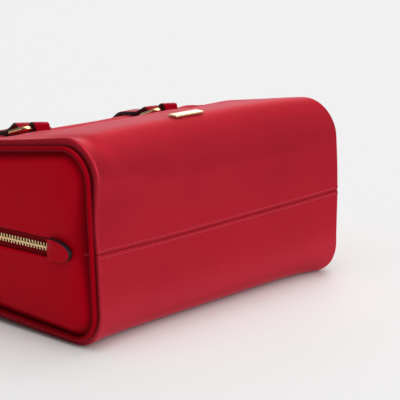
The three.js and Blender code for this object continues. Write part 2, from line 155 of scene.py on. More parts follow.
# Handle fittings
FITTING_X = 61.8 * MM
FITTING_FROM_ZIP = 83 * MM
CLEAR = 0.3 * MM  # gap between pieces that lie on each other
TAB_FOLD = {"clear": 0.3 * MM, "lift": 0.2 * MM}  # a strap's room round a wire, and its rise over it
HANDLE_FOLD = {"clear": 1.9 * MM, "lift": 1.8 * MM}
FOLD_DROP = 0.8  # how far a tab has come down behind its wire, in thicknesses of strap
TAB_CLEAR = 0.2 * MM
TAB_LENGTH = 3.9 * MM  # from the wire to the tab's sewn end
TAB_CLOSED = 3.4 * MM  # and to where its layers meet
TAB_ROUNDING = 0.15  # share of its width that a tab loses at its end
TAIL_LENGTH = 24 * MM  # a handle's end, sewn back under its leg
TAIL_CLOSED = 8 * MM
TAIL_STEP = 1 * MM  # how far past the end of its tail the leg stays lifted
LEG_LENGTH = 40 * MM
LEG_CLOSED = 34 * MM
GRIP_FULL = 0.6  # share of the way to the grip's middle where it is fully round
GRIP_STEPS = 10
GRIP_ROUND = 0.46  # corner of the grip, as a share of its thickness
FOLD_STEPS = 10
STRAP_CORNER = 0.55 * MM
CORNER_STEPS = 4
PAINT = 1  # place of the edge paint among the finishes of a strap
LIE_HEIGHT = 3.1 * MM  # a leg's middle over the leather that it lies on
# Dents of the back panel over its fittings: how far past them, how deep and their half sizes
DENT = {"past": 5 * MM, "depth": 8.6 * MM, "wide": 34 * MM, "long": 52 * MM}

# Course of each handle past its ring, in millimetres and degrees: along the leather first, then free
COURSES = {
    "front": {
        "lie": (0, 9, 20, 32, 42),
        "fall": ({"run": 30, "slope": 50}, {"run": 30, "slope": 57}, {"run": 32, "slope": 62}),
    },
    "back": {
        "lie": (0,),
        "fall": ({"run": 34, "slope": 0.3}, {"run": 97, "slope": 0.2}),
    },
}

# End panels and zip
END_EDGE = 0.4 * MM
END_BULGE = 2.6 * MM
END_RISE = 0.5  # share of the way from rim to slot over which the bulge rises
END_GROOVE = 2 * MM  # the panel goes down to its seam beside the piping
END_GROOVE_WIDE = 8 * MM
SLOT_HALF = 6.25 * MM
SLOT_END = 32 * MM
SLOT_SHOULDER = 8 * MM
TAPE_THICK = 1 * MM
TAPE_START = 20 * MM
TOP_CLEAR = 0.8 * MM
TAPE_BEND = 14 * MM
CHAIN_THICK = 2 * MM
CHAIN_START = 36 * MM
TAB_TIP = 15.5 * MM
TAB_EDGE = 36.5 * MM
END_TAB_WIDTH = 14.4 * MM
TIP_LONG = 15 * MM
SLIDER_START = 44 * MM
SLIDER_BODY = 11 * MM


def clamp(value, low=0.0, high=1.0):
    """The value, kept between two limits."""
    return max(low, min(high, value))


def lerp(start, end, share):
    """A share of the way from one value to another."""
    return start + (end - start) * share


def smoothstep(value, low, high):
    """0 below the low limit, 1 above the high one and smooth between them."""
    share = clamp((value - low) / (high - low))
    return share * share * (3 - 2 * share)


def nearer_end(x):
    """The end of the bag that a place along it is nearer to: -1 for the left, 1 for the right."""
    return 1 if x > 0 else -1


def gathered(share):
    """A share from 0 to 1 whose even steps crowd together towards both ends."""
    return (1 - math.cos(math.pi * share)) / 2


def hermite(start, end, leaving, arriving, share):
    """A point on the smooth curve from one point to another, with its speeds at both."""
    cubic = (2 * start - 2 * end + leaving + arriving) * share**3
    square = (-3 * start + 3 * end - 2 * leaving - arriving) * share**2
    return cubic + square + leaving * share + start


def limited(way, most):
    """A vector, made no longer than a limit."""
    return way * min(1.0, most / max(way.length, TINY))


def turned_edge(distance, radius):
    """How far a turned edge has dropped at a distance from its end."""
    inside = clamp(1 - distance / radius)
    return radius * (1 - math.sqrt(1 - inside * inside))


class Course:
    """A line of straight stretches and arcs in a plane, measured along its length."""

    def __init__(self, start, arcs, end):
        self.stretches = []
        self.length = 0.0
        at = start
        for centre, radius, turn, sweep in arcs:
            first = centre + radius * Vector((math.cos(turn), math.sin(turn)))
            last = centre + radius * Vector((math.cos(turn + sweep), math.sin(turn + sweep)))
            self.add(at, first, None)
            self.add(first, last, (centre, radius, turn, sweep))
            at = last
        self.add(at, end, None)

    def add(self, start, end, arc):
        """Adds a stretch; one with no arc is straight."""
        length = (end - start).length
        if arc:
            _, radius, _, sweep = arc
            length = abs(radius * sweep)
        self.stretches.append((self.length, length, start, end, arc))
        self.length += length

    def at(self, distance):
        """The point and the direction at a distance along the line."""
        for begin, length, start, end, arc in self.stretches:
            if length > 0 and distance <= begin + length:
                break
        share = (distance - begin) / length
        if arc is None:
            return start.lerp(end, share), (end - start).normalized()
        centre, radius, turn, sweep = arc
        angle = turn + sweep * share
        side = math.copysign(1, sweep)
        point = centre + radius * Vector((math.cos(angle), math.sin(angle)))
        return point, side * Vector((-math.sin(angle), math.cos(angle)))


def corner_arc(before, corner, after, radius):
    """The arc that rounds a corner off: its centre, radius, first angle and sweep."""
    back = (before - corner).normalized()
    forth = (after - corner).normalized()
    half = math.acos(back.dot(forth)) / 2
    reach = radius / math.tan(half)
    centre = corner + (back + forth).normalized() * (radius / math.sin(half))
    first = corner + back * reach - centre
    last = corner + forth * reach - centre
    turn = math.atan2(first.y, first.x)
    sweep = (math.atan2(last.y, last.x) - turn) % TURN
    return centre, radius, turn, sweep


class Spline:
    """A smooth curve through points in a plane, measured along its length."""

    STEPS = 240

    def __init__(self, points):
        self.points = points
        samples = [self.through(i / self.STEPS) for i in range(self.STEPS + 1)]
        self.marks = [0.0]
        for before, after in zip(samples, samples[1:]):
            self.marks.append(self.marks[-1] + (after - before).length)
        self.samples = samples
        self.length = self.marks[-1]

    def through(self, share):
        """The point at a share of the way, counted in points."""
        last = len(self.points) - 1
        place = share * last
        index = min(int(place), last - 1)
        before = self.points[max(index - 1, 0)]
        start = self.points[index]
        end = self.points[index + 1]
        after = self.points[min(index + 2, last)]
        return hermite(start, end, (end - before) / 2, (after - start) / 2, place - index)

    def at(self, distance):
        """The point and the direction at a distance, straight on past either end."""
        inside = clamp(distance, 0.0, self.length)
        index = 0
        while index < self.STEPS - 1 and self.marks[index + 1] < inside:
            index += 1
        step = self.samples[index + 1] - self.samples[index]
        share = (inside - self.marks[index]) / step.length
        tangent = step.normalized()
        return self.samples[index] + step * share + tangent * (distance - inside), tangent


class SatchelSizes(bpy.types.PropertyGroup):
    """Sizes of the satchel's pieces."""

    length: bpy.props.FloatProperty(
        name="Length", description="From one piped seam to the other", default=0.240, unit="LENGTH"
    )
    wall: bpy.props.FloatProperty(
        name="Leather", description="Thickness of the leather walls", default=0.002, unit="LENGTH"
    )
    piping: bpy.props.FloatProperty(
        name="Piping", description="Radius of the piping round the ends", default=0.0018, unit="LENGTH"
    )
    roll: bpy.props.FloatProperty(
        name="Roll", description="How far the leather rolls past the piping", default=0.0057, unit="LENGTH"
    )
    sink: bpy.props.FloatProperty(
        name="Sink", description="Fall of the front to the right end", default=0.006, unit="LENGTH"
    )
    strap_width: bpy.props.FloatProperty(
        name="Strap width", description="Width of handles and tabs", default=0.0135, unit="LENGTH"
    )
    strap_thick: bpy.props.FloatProperty(
        name="Strap", description="Thickness of one layer of strap", default=0.002, unit="LENGTH"
    )
    grip_width: bpy.props.FloatProperty(
        name="Grip width", description="Width of a handle's rolled grip", default=0.014, unit="LENGTH"
    )
    grip_thick: bpy.props.FloatProperty(
        name="Grip", description="Thickness of a handle's rolled grip", default=0.007, unit="LENGTH"
    )
    ring_wire: bpy.props.FloatProperty(
        name="Ring wire", description="Radius of the rings' wire", default=0.0017, unit="LENGTH"
    )
    ring_wide: bpy.props.FloatProperty(
        name="Ring width", description="Between the middles of the wires", default=0.0236, unit="LENGTH"
    )
    ring_long: bpy.props.FloatProperty(
        name="Ring length", description="Between the middles of the wires", default=0.018, unit="LENGTH"
    )
    ring_corner: bpy.props.FloatProperty(
        name="Ring corner", description="Radius of the rings' corners", default=0.004, unit="LENGTH"
    )
    tape: bpy.props.FloatProperty(
        name="Zip tape", description="Width of one zip tape", default=0.0105, unit="LENGTH"
    )
    tooth_pitch: bpy.props.FloatProperty(
        name="Tooth pitch", description="Between two teeth on one tape", default=0.0027, unit="LENGTH"
    )
    stitch: bpy.props.FloatProperty(
        name="Stitch", description="Length of a stitch with its gap", default=0.0024, unit="LENGTH"
    )
    badge_length: bpy.props.FloatProperty(
        name="Badge length", description="Length of the bar on the front", default=0.0265, unit="LENGTH"
    )
    badge_width: bpy.props.FloatProperty(
        name="Badge width", description="Width of the bar on the front", default=0.0062, unit="LENGTH"
    )


class SatchelColours(bpy.types.PropertyGroup):
    """Colours of the satchel's finishes."""

    # painted reflection: the body leather's green and blue are raised to stand in for a pinkish sheen on its
    # base and front
    leather: bpy.props.FloatVectorProperty(
        name="Leather", description="Body leather", default=(0.4, 0.0155, 0.029), subtype="COLOR"
    )
    # the same leather as the body, brightened and without the painted pink to stand in for how light falls
    # on the ends; also used for the piping and the zip's end tabs
    end: bpy.props.FloatVectorProperty(
        name="Ends", description="End panels and piping", default=(0.465, 0.0004, 0.0095), subtype="COLOR"
    )
    strap: bpy.props.FloatVectorProperty(
        name="Straps", description="Handles and their tabs", default=(0.3, 0.0008, 0.009), subtype="COLOR"
    )
    thread: bpy.props.FloatVectorProperty(
        name="Thread", description="Topstitching", default=(0.45, 0.0195, 0.035), subtype="COLOR"
    )
    paint: bpy.props.FloatVectorProperty(
        name="Edge paint", description="Cut edges of leather", default=(0.012, 0.006, 0.008), subtype="COLOR"
    )
    tape: bpy.props.FloatVectorProperty(
        name="Zip tape", description="Woven tapes of the zip", default=(0.26, 0.0008, 0.006), subtype="COLOR"
    )
    teeth: bpy.props.FloatVectorProperty(
        name="Teeth", description="Teeth of the zip", default=(0.98, 0.78, 0.44), subtype="COLOR"
    )
    gold: bpy.props.FloatVectorProperty(
        name="Gold", description="Rings, slider and badge", default=(0.86, 0.62, 0.33), subtype="COLOR"
    )


class SatchelStage(bpy.types.PropertyGroup):
    """Camera and floor."""

    azimuth: bpy.props.FloatProperty(
        name="Azimuth", description="Camera's turn to the left", default=math.radians(47.26), subtype="ANGLE"
    )
    elevation: bpy.props.FloatProperty(
        name="Elevation", description="Camera's turn upwards", default=math.radians(14.11), subtype="ANGLE"
    )
    distance: bpy.props.FloatProperty(
        name="Distance", description="From the base to the camera", default=1.0818, unit="LENGTH"
    )
    aside: bpy.props.FloatProperty(
        name="Aside", description="Camera's move to its right", default=-0.01753, unit="LENGTH"
    )
    above: bpy.props.FloatProperty(
        name="Above", description="Camera's move upwards", default=0.00039, unit="LENGTH"
    )
    lens: bpy.props.FloatProperty(
        name="Lens", description="Focal length", default=148.5, unit="CAMERA"
    )
    floor: bpy.props.FloatVectorProperty(
        name="Floor", description="Colour of the floor", default=(0.75, 0.75, 0.75), subtype="COLOR"
    )


class Form:
    """The bag's shape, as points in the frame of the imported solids."""

    BASE_EDGE = 3  # the outline's stretch round the front edge of the base
    BASE = 4  # and the one down the base
    STEP = 0.2 * MM  # for directions along the leather

    def __init__(self, sizes):
        self.sizes = sizes
        self.half = sizes.length / 2
        first = CORNERS[0]
        last = CORNERS[-1]
        share = (ZIP_LEVEL / MM - last["z"]) / (first["z"] - last["z"])
        self.zip = Vector((lerp(last["y"], first["y"], share) * MM, ZIP_LEVEL))
        self.outline = self.make_outline("z", "radius")
        self.end_outline = self.make_outline("end_z", "end_radius")
        self.seam = self.seam_place(self.outline)
        self.end_seam = self.seam_place(self.end_outline)
        self.front_end = self.outline.stretches[self.BASE_EDGE][0]
        low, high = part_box("zip_end_tab_left")
        level = (low.z + high.z) / 2 - self.zip_level((TAB_TIP + TAB_EDGE) / 2)
        self.shift = Vector((0, low.y - TAB_TIP, level))
        fold = TAB_FOLD["clear"] - TAB_FOLD["lift"]
        self.ring_lie = TAB_CLEAR + sizes.strap_thick + fold + sizes.ring_wire

    def make_outline(self, level, radius):
        """The line round the bag from the zip over the front, the base and the back."""
        corners = [Vector((row["y"], row[level])) * MM for row in CORNERS]
        arcs = []
        for i, row in enumerate(CORNERS):
            after = corners[(i + 1) % len(corners)]
            arcs.append(corner_arc(corners[i - 1], corners[i], after, row[radius] * MM))
        return Course(self.zip, arcs, self.zip)

    def seam_place(self, outline):
        """Where on an outline the base seam is."""
        begin, length, start, end, _ = outline.stretches[self.BASE]
        return begin + length * (start.y - SEAM_LEVEL) / (start.y - end.y)

    def end_place(self, along):
        """The place on the outline of the ends that goes with one on the outline of the middle."""
        if along < self.seam:
            return along * self.end_seam / self.seam
        left = (self.outline.length - along) / (self.outline.length - self.seam)
        return self.end_outline.length - left * (self.end_outline.length - self.end_seam)

    def settle(self, point):
        """A point where the bag lies, sunk a little towards its right end."""
        share = (self.half + point.x) / self.sizes.length
        sunk = self.sizes.sink * share * smoothstep(point.z, SEAM_LEVEL, SINK_TOP)
        lean = LEAN * clamp(point.x / self.half) * (1 - smoothstep(point.z, LEAN_LOW, LEAN_HIGH))
        return Vector((point.x - lean, point.y, point.z - sunk)) + self.shift

    def middle(self):
        """A point in the middle of the bag."""
        return self.settle(Vector((0, self.zip.x / 2, SEAM_LEVEL)))

    def zip_level(self, y):
        """Height of the zip's line at a distance from the base."""
        return lerp(SEAM_LEVEL, ZIP_LEVEL, y / self.zip.x)

    def edge(self, along, x):
        """A point of the outline at a place along the bag, and the direction out of it."""
        middle, middle_way = self.outline.at(along)
        end, end_way = self.end_outline.at(self.end_place(along))
        share = clamp(abs(x / self.half)) ** END_SHAPE_POWER
        way = middle_way.lerp(end_way, share).normalized()
        outward = Vector((way.y, -way.x))
        return middle.lerp(end, share) - outward * self.gather(x), outward

    def gather(self, x):
        """How far the outline is drawn in towards an end."""
        return GATHER[nearer_end(x)] * clamp(abs(x / self.half)) ** GATHER_POWER

    def swell(self, share):
        """How far the leather swells at a share of the way round."""
        for low, high in zip(SWELL, SWELL[1:]):
            if share <= high["share"]:
                break
        blend = smoothstep(share, low["share"], high["share"])
        return lerp(low["out"], high["out"], blend) * MM

    def dent(self, x, along):
        """Depth of the dents where the back panel lies on its fittings."""
        middle = self.outline.length - FITTING_FROM_ZIP - DENT["past"]
        long = (along - middle) / DENT["long"]
        depth = 0.0
        for side in HANDS.values():
            wide = (x - side * FITTING_X) / DENT["wide"]
            depth += DENT["depth"] * math.exp(-(wide**PATCH_POWER) - long**PATCH_POWER)
        return depth

    def mound(self, row, x, along):
        """How near the middle of a soft patch of the leather a place is, from 0 to 1."""
        wide = (x - row["x"] * MM) / (row["wide"] * MM)
        long = (along - self.front_end - row["past_front"] * MM) / (row["long"] * MM)
        return math.exp(-(wide**2) - long**2)

    def fold_out(self, x, along):
        """Height of the soft folds, and of the slopes under the front handle's rings."""
        out = sum(row["out"] * MM * self.mound(row, x, along) for row in FOLDS)
        long = (along - FITTING_FROM_ZIP) / FITTING_TILT_LONG
        for side in HANDS.values():
            aside = x - side * FITTING_X
            wide = aside / FITTING_TILT_WIDE
            out -= FITTING_TILT * aside * math.exp(-(wide**2) - long**PATCH_POWER)
        return out

    def rolled(self, x):
        """How much of its rise the leather has made, from the seam beside the piping to its full height."""
        start = self.sizes.piping + CLEAR
        end = nearer_end(x)
        inside = clamp((self.half - abs(x) - start) / (ROLL_REACH[end] - start))
        return (1 - (1 - inside) ** ROLL_POWER[end]) ** (1 / ROLL_POWER[end])

    def leather(self, x, along, depth):
        """A point of the body leather, a depth inside its outer face, before it settles."""
        at, outward = self.edge(along, x)
        roll = lerp(-ROLL_DIP, self.sizes.roll + self.gather(x), self.rolled(x))
        dome = (1 - (x / self.half) ** DOME_POWER) * (1 + DOME_TILT * x / self.half)
        swell = self.swell(along / self.outline.length) * dome
        out = roll + swell + self.fold_out(x, along) - self.dent(x, along)
        at = at + outward * (out - depth)
        tuck = TUCK * clamp(1 - at.y / TUCK_TOP) ** TUCK_POWER * (1 - smoothstep(at.x, 0, TUCK_DEEP))
        tuck *= 1 - (x / self.half) ** DOME_POWER
        return Vector((x, at.x + tuck, max(at.y, TABLE + max(depth, 0))))

    def leather_frame(self, x, along, depth):
        """A settled point of the leather with its directions along the bag, along the outline and out."""
        here = self.settle(self.leather(x, along, depth))
        aside = self.settle(self.leather(x + self.STEP, along, depth)) - here
        onward = self.settle(self.leather(x, along + self.STEP, depth)) - here
        return here, aside.normalized(), onward.normalized(), onward.cross(aside).normalized()

    def fitting(self, x, front, aside, along, out):
        """A place on the leather beside a fitting: aside, towards the zip and out of the leather."""
        from_zip = FITTING_FROM_ZIP - along
        distance = from_zip if front else self.outline.length - from_zip
        return self.leather(x + aside, distance, -out)

    def ring_axes(self, x, front):
        """A ring's middle, and the directions across it, towards the zip and out."""
        wide = self.sizes.ring_wide / 2
        long = self.sizes.ring_long / 2
        near = self.fitting(x, front, 0, -long, self.ring_lie)
        far = self.fitting(x, front, 0, long, self.ring_lie)
        left = self.fitting(x, front, -wide, 0, self.ring_lie)
        right = self.fitting(x, front, wide, 0, self.ring_lie)
        to_zip = (far - near).normalized()
        across = (right - left).normalized() * (1 if front else -1)
        return near.lerp(far, 0.5), across, to_zip, across.cross(to_zip)

    def zip_course(self, start, over):
        """The zip's line up one end, over the top and down the other, a height over the tapes."""
        end_x = self.half + END_EDGE + END_BULGE - self.sizes.wall - CLEAR - TAPE_THICK / 2 + over
        top = self.zip.x + self.sizes.roll - self.sizes.wall - TOP_CLEAR - TAPE_THICK / 2 + over
        bend = TAPE_BEND + over
        turns = (
            (Vector((bend - end_x, top - bend)), bend, 2 * QUARTER, -QUARTER),
            (Vector((end_x - bend, top - bend)), bend, QUARTER, -QUARTER),
        )
        return Course(Vector((-end_x, start)), turns, Vector((end_x, start)))

    def zip_frame(self, course, distance):
        """A point of the zip with its directions along it, across it and out."""
        at, tangent = course.at(distance)
        _, lean = self.outline.at(0)
        across = Vector((0, lean.x, lean.y))
        centre = Vector((at.x, at.y, self.zip_level(at.y)))
        along = Vector((tangent.x, tangent.y, 0))
        out = across.cross(along).normalized()
        return centre, along, across, out


class Wire:
    """A node's socket that takes part in arithmetic; each step adds its node to the tree."""

    def __init__(self, tree, socket=None):
        self.tree = tree
        self.socket = socket

    def node(self, kind, settings, sockets, output=0):
        """Adds a node with its settings, then the values or links of its sockets."""
        made = self.tree.nodes.new(kind)
        for key, value in settings.items():
            if key == "stops":
                self.set_stops(made.color_ramp.elements, value)
            else:
                setattr(made, key, value)
        for key, value in sockets.items():
            if isinstance(value, Wire):
                self.tree.links.new(value.socket, made.inputs[key])
            else:
                made.inputs[key].default_value = value
        return Wire(self.tree, made.outputs[output])

    @staticmethod
    def set_stops(elements, stops):
        """Gives a ramp its two stops, each a place and a brightness."""
        for element, (place, value) in zip(elements, stops):
            element.position = place
            element.color = (value, value, value, 1.0)

    def math(self, operation, first, second):
        """One step of arithmetic."""
        return self.node("ShaderNodeMath", {"operation": operation}, {0: first, 1: second})

    def __add__(self, other):
        return self.math("ADD", self, other)

    def __radd__(self, other):
        return self.math("ADD", other, self)

    def __sub__(self, other):
        return self.math("SUBTRACT", self, other)

    def __rsub__(self, other):
        return self.math("SUBTRACT", other, self)

    def __mul__(self, other):
        return self.math("MULTIPLY", self, other)

    def __rmul__(self, other):
        return self.math("MULTIPLY", other, self)

    def __pow__(self, other):
        return self.math("POWER", self, other)


def shade(colour, factor):
    """A colour made lighter or darker, with its alpha."""
    return (*(clamp(part * factor) for part in colour), 1.0)


class Finish:
    """A material with one principled shader, and the textures that its nodes read."""

    # A Mix node's sockets for colours go by number, because those for values have the same names
    MIX_FIRST = 6
    MIX_SECOND = 7
    MIX_RESULT = 2

    def __init__(self, name):
        self.material = bpy.data.materials.new(name)
        self.material.use_nodes = True
        tree = self.material.node_tree
        self.shader = tree.nodes["Principled BSDF"]
        self.start = Wire(tree)
        self.object = self.start.node("ShaderNodeTexCoord", {}, {}, "Object")
        self.uv = self.start.node("ShaderNodeTexCoord", {}, {}, "UV")

    def noise(self, scale, detail=2.0, roughness=0.5):
        """Soft noise; its scale is in patches to the metre."""
        sockets = {"Vector": self.object, "Scale": scale, "Detail": detail, "Roughness": roughness}
        return self.start.node("ShaderNodeTexNoise", {}, sockets, "Fac")

    def cells(self, scale):
        """Distance to the nearest of scattered points; their scale is in points to the metre."""
        sockets = {"Vector": self.object, "Scale": scale}
        return self.start.node("ShaderNodeTexVoronoi", {}, sockets, "Distance")

    def attribute(self, name):
        """A value that the mesh carries at its vertices, 0 where it has none."""
        return self.start.node("ShaderNodeAttribute", {"attribute_name": name}, {}, "Fac")

    def ribs(self, scale, direction):
        """Even ribs over a UV map."""
        settings = {"wave_type": "BANDS", "bands_direction": direction, "wave_profile": "SIN"}
        sockets = {"Vector": self.uv, "Scale": scale}
        return self.start.node("ShaderNodeTexWave", settings, sockets, "Fac")

    def ramp(self, value, stops):
        """A value passed through a ramp of two places and brightnesses."""
        return self.start.node("ShaderNodeValToRGB", {"stops": stops}, {"Fac": value}, "Color")

    def mix(self, share, first, second):
        """A colour between two others."""
        settings = {"data_type": "RGBA"}
        sockets = {0: share, self.MIX_FIRST: first, self.MIX_SECOND: second}
        return self.start.node("ShaderNodeMix", settings, sockets, self.MIX_RESULT)

    def tones(self, share, colour, dark, pale):
        """A colour that a share takes from darker to paler."""
        return self.mix(share, shade(colour, dark), shade(colour, pale))

    def bump(self, height, distance, strength, under=None):
        """A bump of a height in metres, over another one if given."""
        sockets = {"Height": height, "Distance": distance, "Strength": strength}
        if under:
            sockets["Normal"] = under
        return self.start.node("ShaderNodeBump", {}, sockets, "Normal")

    def set(self, **sockets):
        """Sets or links the shader's sockets, whose names are given with underscores."""
        for key, value in sockets.items():
            socket = self.shader.inputs[key.replace("_", " ")]
            if isinstance(value, Wire):
                self.start.tree.links.new(value.socket, socket)
            else:
                socket.default_value = value
        return self.material


# Soft lights round the bag: their directions, how narrow they are and their strengths
LIGHTS = (
    {"light": "over the bag", "way": (0, 0, 1), "power": 20, "strength": 3.0},
    {"light": "over the far end", "way": (0.44, 0, 0.9), "power": 16, "strength": 2.4},
    {"light": "over the near end", "way": (-0.44, 0, 0.9), "power": 16, "strength": 0.7},
    {"light": "over the base", "way": (-0.22, -0.38, 0.9), "power": 16, "strength": 1.0},
    {"light": "before the base", "way": (0, -0.79, 0.62), "power": 12, "strength": 2.6},
    {"light": "low before the base", "way": (0, -0.98, 0.21), "power": 12, "strength": 2.5},
    {"light": "behind the far end", "way": (0.74, 0.58, 0.34), "power": 18, "strength": 2.7},
    {"light": "low behind the near end", "way": (-0.69, 0.69, 0.21), "power": 12, "strength": 0.5},
)
AMBIENT = 0.03
HIGHLIGHT_COLOUR = (0.62, 0.06, 0.09, 1.0)  # painted highlight: the pale pink mixed in on the roll's crest and at the base's lower edge
BLOOM_TINT = (1.0, 0.2, 0.26, 1.0)  # soft shine at the leather's turned edges
SHEEN_TINT = (1.0, 0.27, 0.34, 1.0)  # dyed leather shines in its own colour
FULL_SHADE = 0.25  # what is left of a colour where its painted shade is deepest
MOTTLE_SHARE = 0.8  # how much of the leather's tone comes from its mottle, the rest from its grain
MOTTLE_STOPS = ((0.3, 0.0), (0.72, 1.0))  # where the tone starts and ends
WEAVE_SHARE = 0.7  # how much of the tape's tone comes from its weave, the rest from its wear


def leather_finish(name, colour, bloom=0.0, lustre=0.0, gloss=0.04):
    """Smooth leather: fine pores, a soft mottle and an uneven sheen, with painted shade and a painted
    highlight mixed into its colour.
    """
    finish = Finish(name)
    mottle = finish.noise(scale=26, detail=3.0, roughness=0.55)
    fine = finish.noise(scale=420, detail=2.0, roughness=0.6)
    pores = finish.cells(scale=1500)
    tone = finish.ramp(mottle * MOTTLE_SHARE + fine * (1 - MOTTLE_SHARE), MOTTLE_STOPS)
    clean = finish.tones(tone, colour, dark=0.95, pale=1.05)
    # painted highlight: a paler pink mixed in on the roll's crest and at the base's lower edge
    painted_highlight = finish.mix(finish.attribute("painted_highlight"), clean, HIGHLIGHT_COLOUR)
    # painted shade: the colour darkens by the mesh's shade values
    base = finish.mix(finish.attribute("painted_shade"), painted_highlight, shade(colour, FULL_SHADE))
    soft = finish.bump(mottle, distance=0.6 * MM, strength=0.1)
    grain = finish.bump(fine, distance=0.12 * MM, strength=0.3, under=soft)
    return finish.set(
        Base_Color=base,
        Roughness=lerp(0.33, 0.43, fine),
        Metallic=lustre,
        Specular_IOR_Level=gloss,
        Specular_Tint=SHEEN_TINT,
        Sheen_Weight=bloom,
        Sheen_Roughness=0.3,
        Sheen_Tint=BLOOM_TINT,
        Normal=finish.bump(pores, distance=0.05 * MM, strength=0.25, under=grain),
    )


def body_leather(colour):
    """The body's leather, which has a soft lustre."""
    return leather_finish("red leather", colour, bloom=0.7, lustre=0.4, gloss=0.015)


def thread_finish(name, colour):
    """Waxed sewing thread with a fine twist."""
    finish = Finish(name)
    twist = finish.noise(scale=2600, detail=1.0)
    return finish.set(
        Base_Color=finish.tones(twist, colour, dark=0.8, pale=1.15),
        Roughness=0.55,
        Normal=finish.bump(twist, distance=0.1 * MM, strength=0.5),
    )


def paint_finish(name, colour):
    """Painted cut edge of leather: dark, glossy and a little uneven."""
    finish = Finish(name)
    uneven = finish.noise(scale=320)
    return finish.set(
        Base_Color=finish.tones(uneven, colour, dark=0.7, pale=1.5),
        Roughness=lerp(0.3, 0.45, uneven),
        Specular_IOR_Level=0.2,
        Normal=finish.bump(uneven, distance=0.15 * MM, strength=0.4),
    )


def tape_finish(name, colour):
    """Woven zip tape: ribs along and across it, in units of a millimetre on its UV map."""
    finish = Finish(name)
    weave = finish.ribs(0.42, "X") * finish.ribs(0.3, "Y")
    wear = finish.noise(scale=90, roughness=0.6)
    tone = weave * WEAVE_SHARE + wear * (1 - WEAVE_SHARE)
    return finish.set(
        Base_Color=finish.tones(tone, colour, dark=0.55, pale=1.25),
        Roughness=0.85,
        Specular_IOR_Level=0.1,
        Normal=finish.bump(weave, distance=0.15 * MM, strength=0.7),
    )


def gold_finish(name, colour, metallic):
    """Polished plating with faint handling marks."""
    finish = Finish(name)
    marks = finish.noise(scale=700, detail=3.0, roughness=0.65)
    cloud = finish.noise(scale=60)
    return finish.set(
        Base_Color=finish.tones(cloud, colour, dark=0.92, pale=1.08),
        Metallic=metallic,
        Roughness=lerp(0.16, 0.3, marks),
        Normal=finish.bump(marks, distance=0.05 * MM, strength=0.15),
    )


def paper_finish(name, colour):
    """Matt paper with faint fibres."""
    finish = Finish(name)
    fibre = finish.noise(scale=900, roughness=0.6)
    return finish.set(
        Base_Color=finish.tones(fibre, colour, dark=0.995, pale=1.005),
        Roughness=0.9,
        Specular_IOR_Level=0.1,
    )


def make_mesh(name, bm):
    """A mesh made from a bmesh, which is freed."""
    mesh = bpy.data.meshes.new(name)
    bm.to_mesh(mesh)
    bm.free()
    return mesh


def make_object(name, data):
    """An object of the scene, at the origin."""
    made = bpy.data.objects.new(name, data)
    bpy.context.scene.collection.objects.link(made)
    return made


class Shop:
    """What the operators share: the form, and each finish, made when it is first asked for."""

    MAKERS = {
        "leather": lambda dyes: body_leather(dyes.leather),
        "end": lambda dyes: leather_finish("red end leather", dyes.end),
        "strap": lambda dyes: leather_finish("red strap leather", dyes.strap, bloom=0.15),
        "thread": lambda dyes: thread_finish("pale thread", dyes.thread),
        "paint": lambda dyes: paint_finish("edge paint", dyes.paint),
        "tape": lambda dyes: tape_finish("zip tape weave", dyes.tape),
        "gold": lambda dyes: gold_finish("pale gold plating", dyes.gold, metallic=1.0),
        "teeth": lambda dyes: gold_finish("bright plating", dyes.teeth, metallic=0.85),
    }
    made = {}

    def __init__(self, context):
        self.sizes = context.scene.satchel_sizes
        self.colours = context.scene.satchel_colours
        self.form = Form(self.sizes)

    def finish(self, name):
        """The finish of that name."""
        if name not in self.made:
            self.made[name] = self.MAKERS[name](self.colours)
        return self.made[name]

    def piece(self, name, bm, finishes, slot, nodes, sharp_past=40):
        """Makes a mesh a piece of the bag: its finishes, and the solids that it stands for, which it hides.
        The slot is not used.
        """
        mesh = make_mesh(name, bm)
        for key in finishes:
            mesh.materials.append(self.finish(key))
        mesh.shade_smooth()
        mesh.set_sharp_from_angle(angle=math.radians(sharp_past))
        piece = make_object(name, mesh)
        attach(piece, BODY)
        if nodes:
            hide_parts(*nodes)
        return piece


def bent_grid(columns, rows, place, uv_size=(1.0, 1.0), painted_shade=None, painted_highlight=None):
    """A grid whose vertices a function takes from their two shares of it to their places."""
    half = 0.5
    bm = bmesh.new()
    uv = bm.loops.layers.uv.new("UVMap")
    # values at the vertices for painted shade and a painted highlight, which the leather's finish mixes into
    # its colour
    shade_layer = bm.verts.layers.float.new("painted_shade")
    highlight_layer = bm.verts.layers.float.new("painted_highlight")
    bmesh.ops.create_grid(bm, x_segments=columns, y_segments=rows, size=half, calc_uvs=True)
    for face in bm.faces:
        for loop in face.loops:
            share = loop.vert.co
            loop[uv].uv = ((share.x + half) * uv_size[0], (share.y + half) * uv_size[1])
    for vert in bm.verts:
        a = clamp(vert.co.x + half)
        b = clamp(vert.co.y + half)
        if painted_shade:
            vert[shade_layer] = painted_shade(a, b)
        if painted_highlight:
            vert[highlight_layer] = painted_highlight(a, b)
        vert.co = place(a, b)
    return bm


def middle_uv(face, uv):
    """The middle of a face on its UV map."""
    count = len(face.loops)
    return [sum(loop[uv].uv[axis] for loop in face.loops) / count for axis in (0, 1)]


def face_outwards(bm, centre):
    """Turns an open shell's faces away from a point inside it."""
    bm.normal_update()
    facing = sum(face.normal.dot(face.calc_center_median() - centre) * face.calc_area() for face in bm.faces)
    if facing < 0:
        bmesh.ops.reverse_faces(bm, faces=bm.faces)


def close_up(bm):
    """Welds a bent grid's meeting edges, fills its open ends and points its faces out."""
    bmesh.ops.remove_doubles(bm, verts=bm.verts, dist=WELD)
    bmesh.ops.holes_fill(bm, edges=[edge for edge in bm.edges if edge.is_boundary], sides=0)
    bmesh.ops.recalc_face_normals(bm, faces=bm.faces)


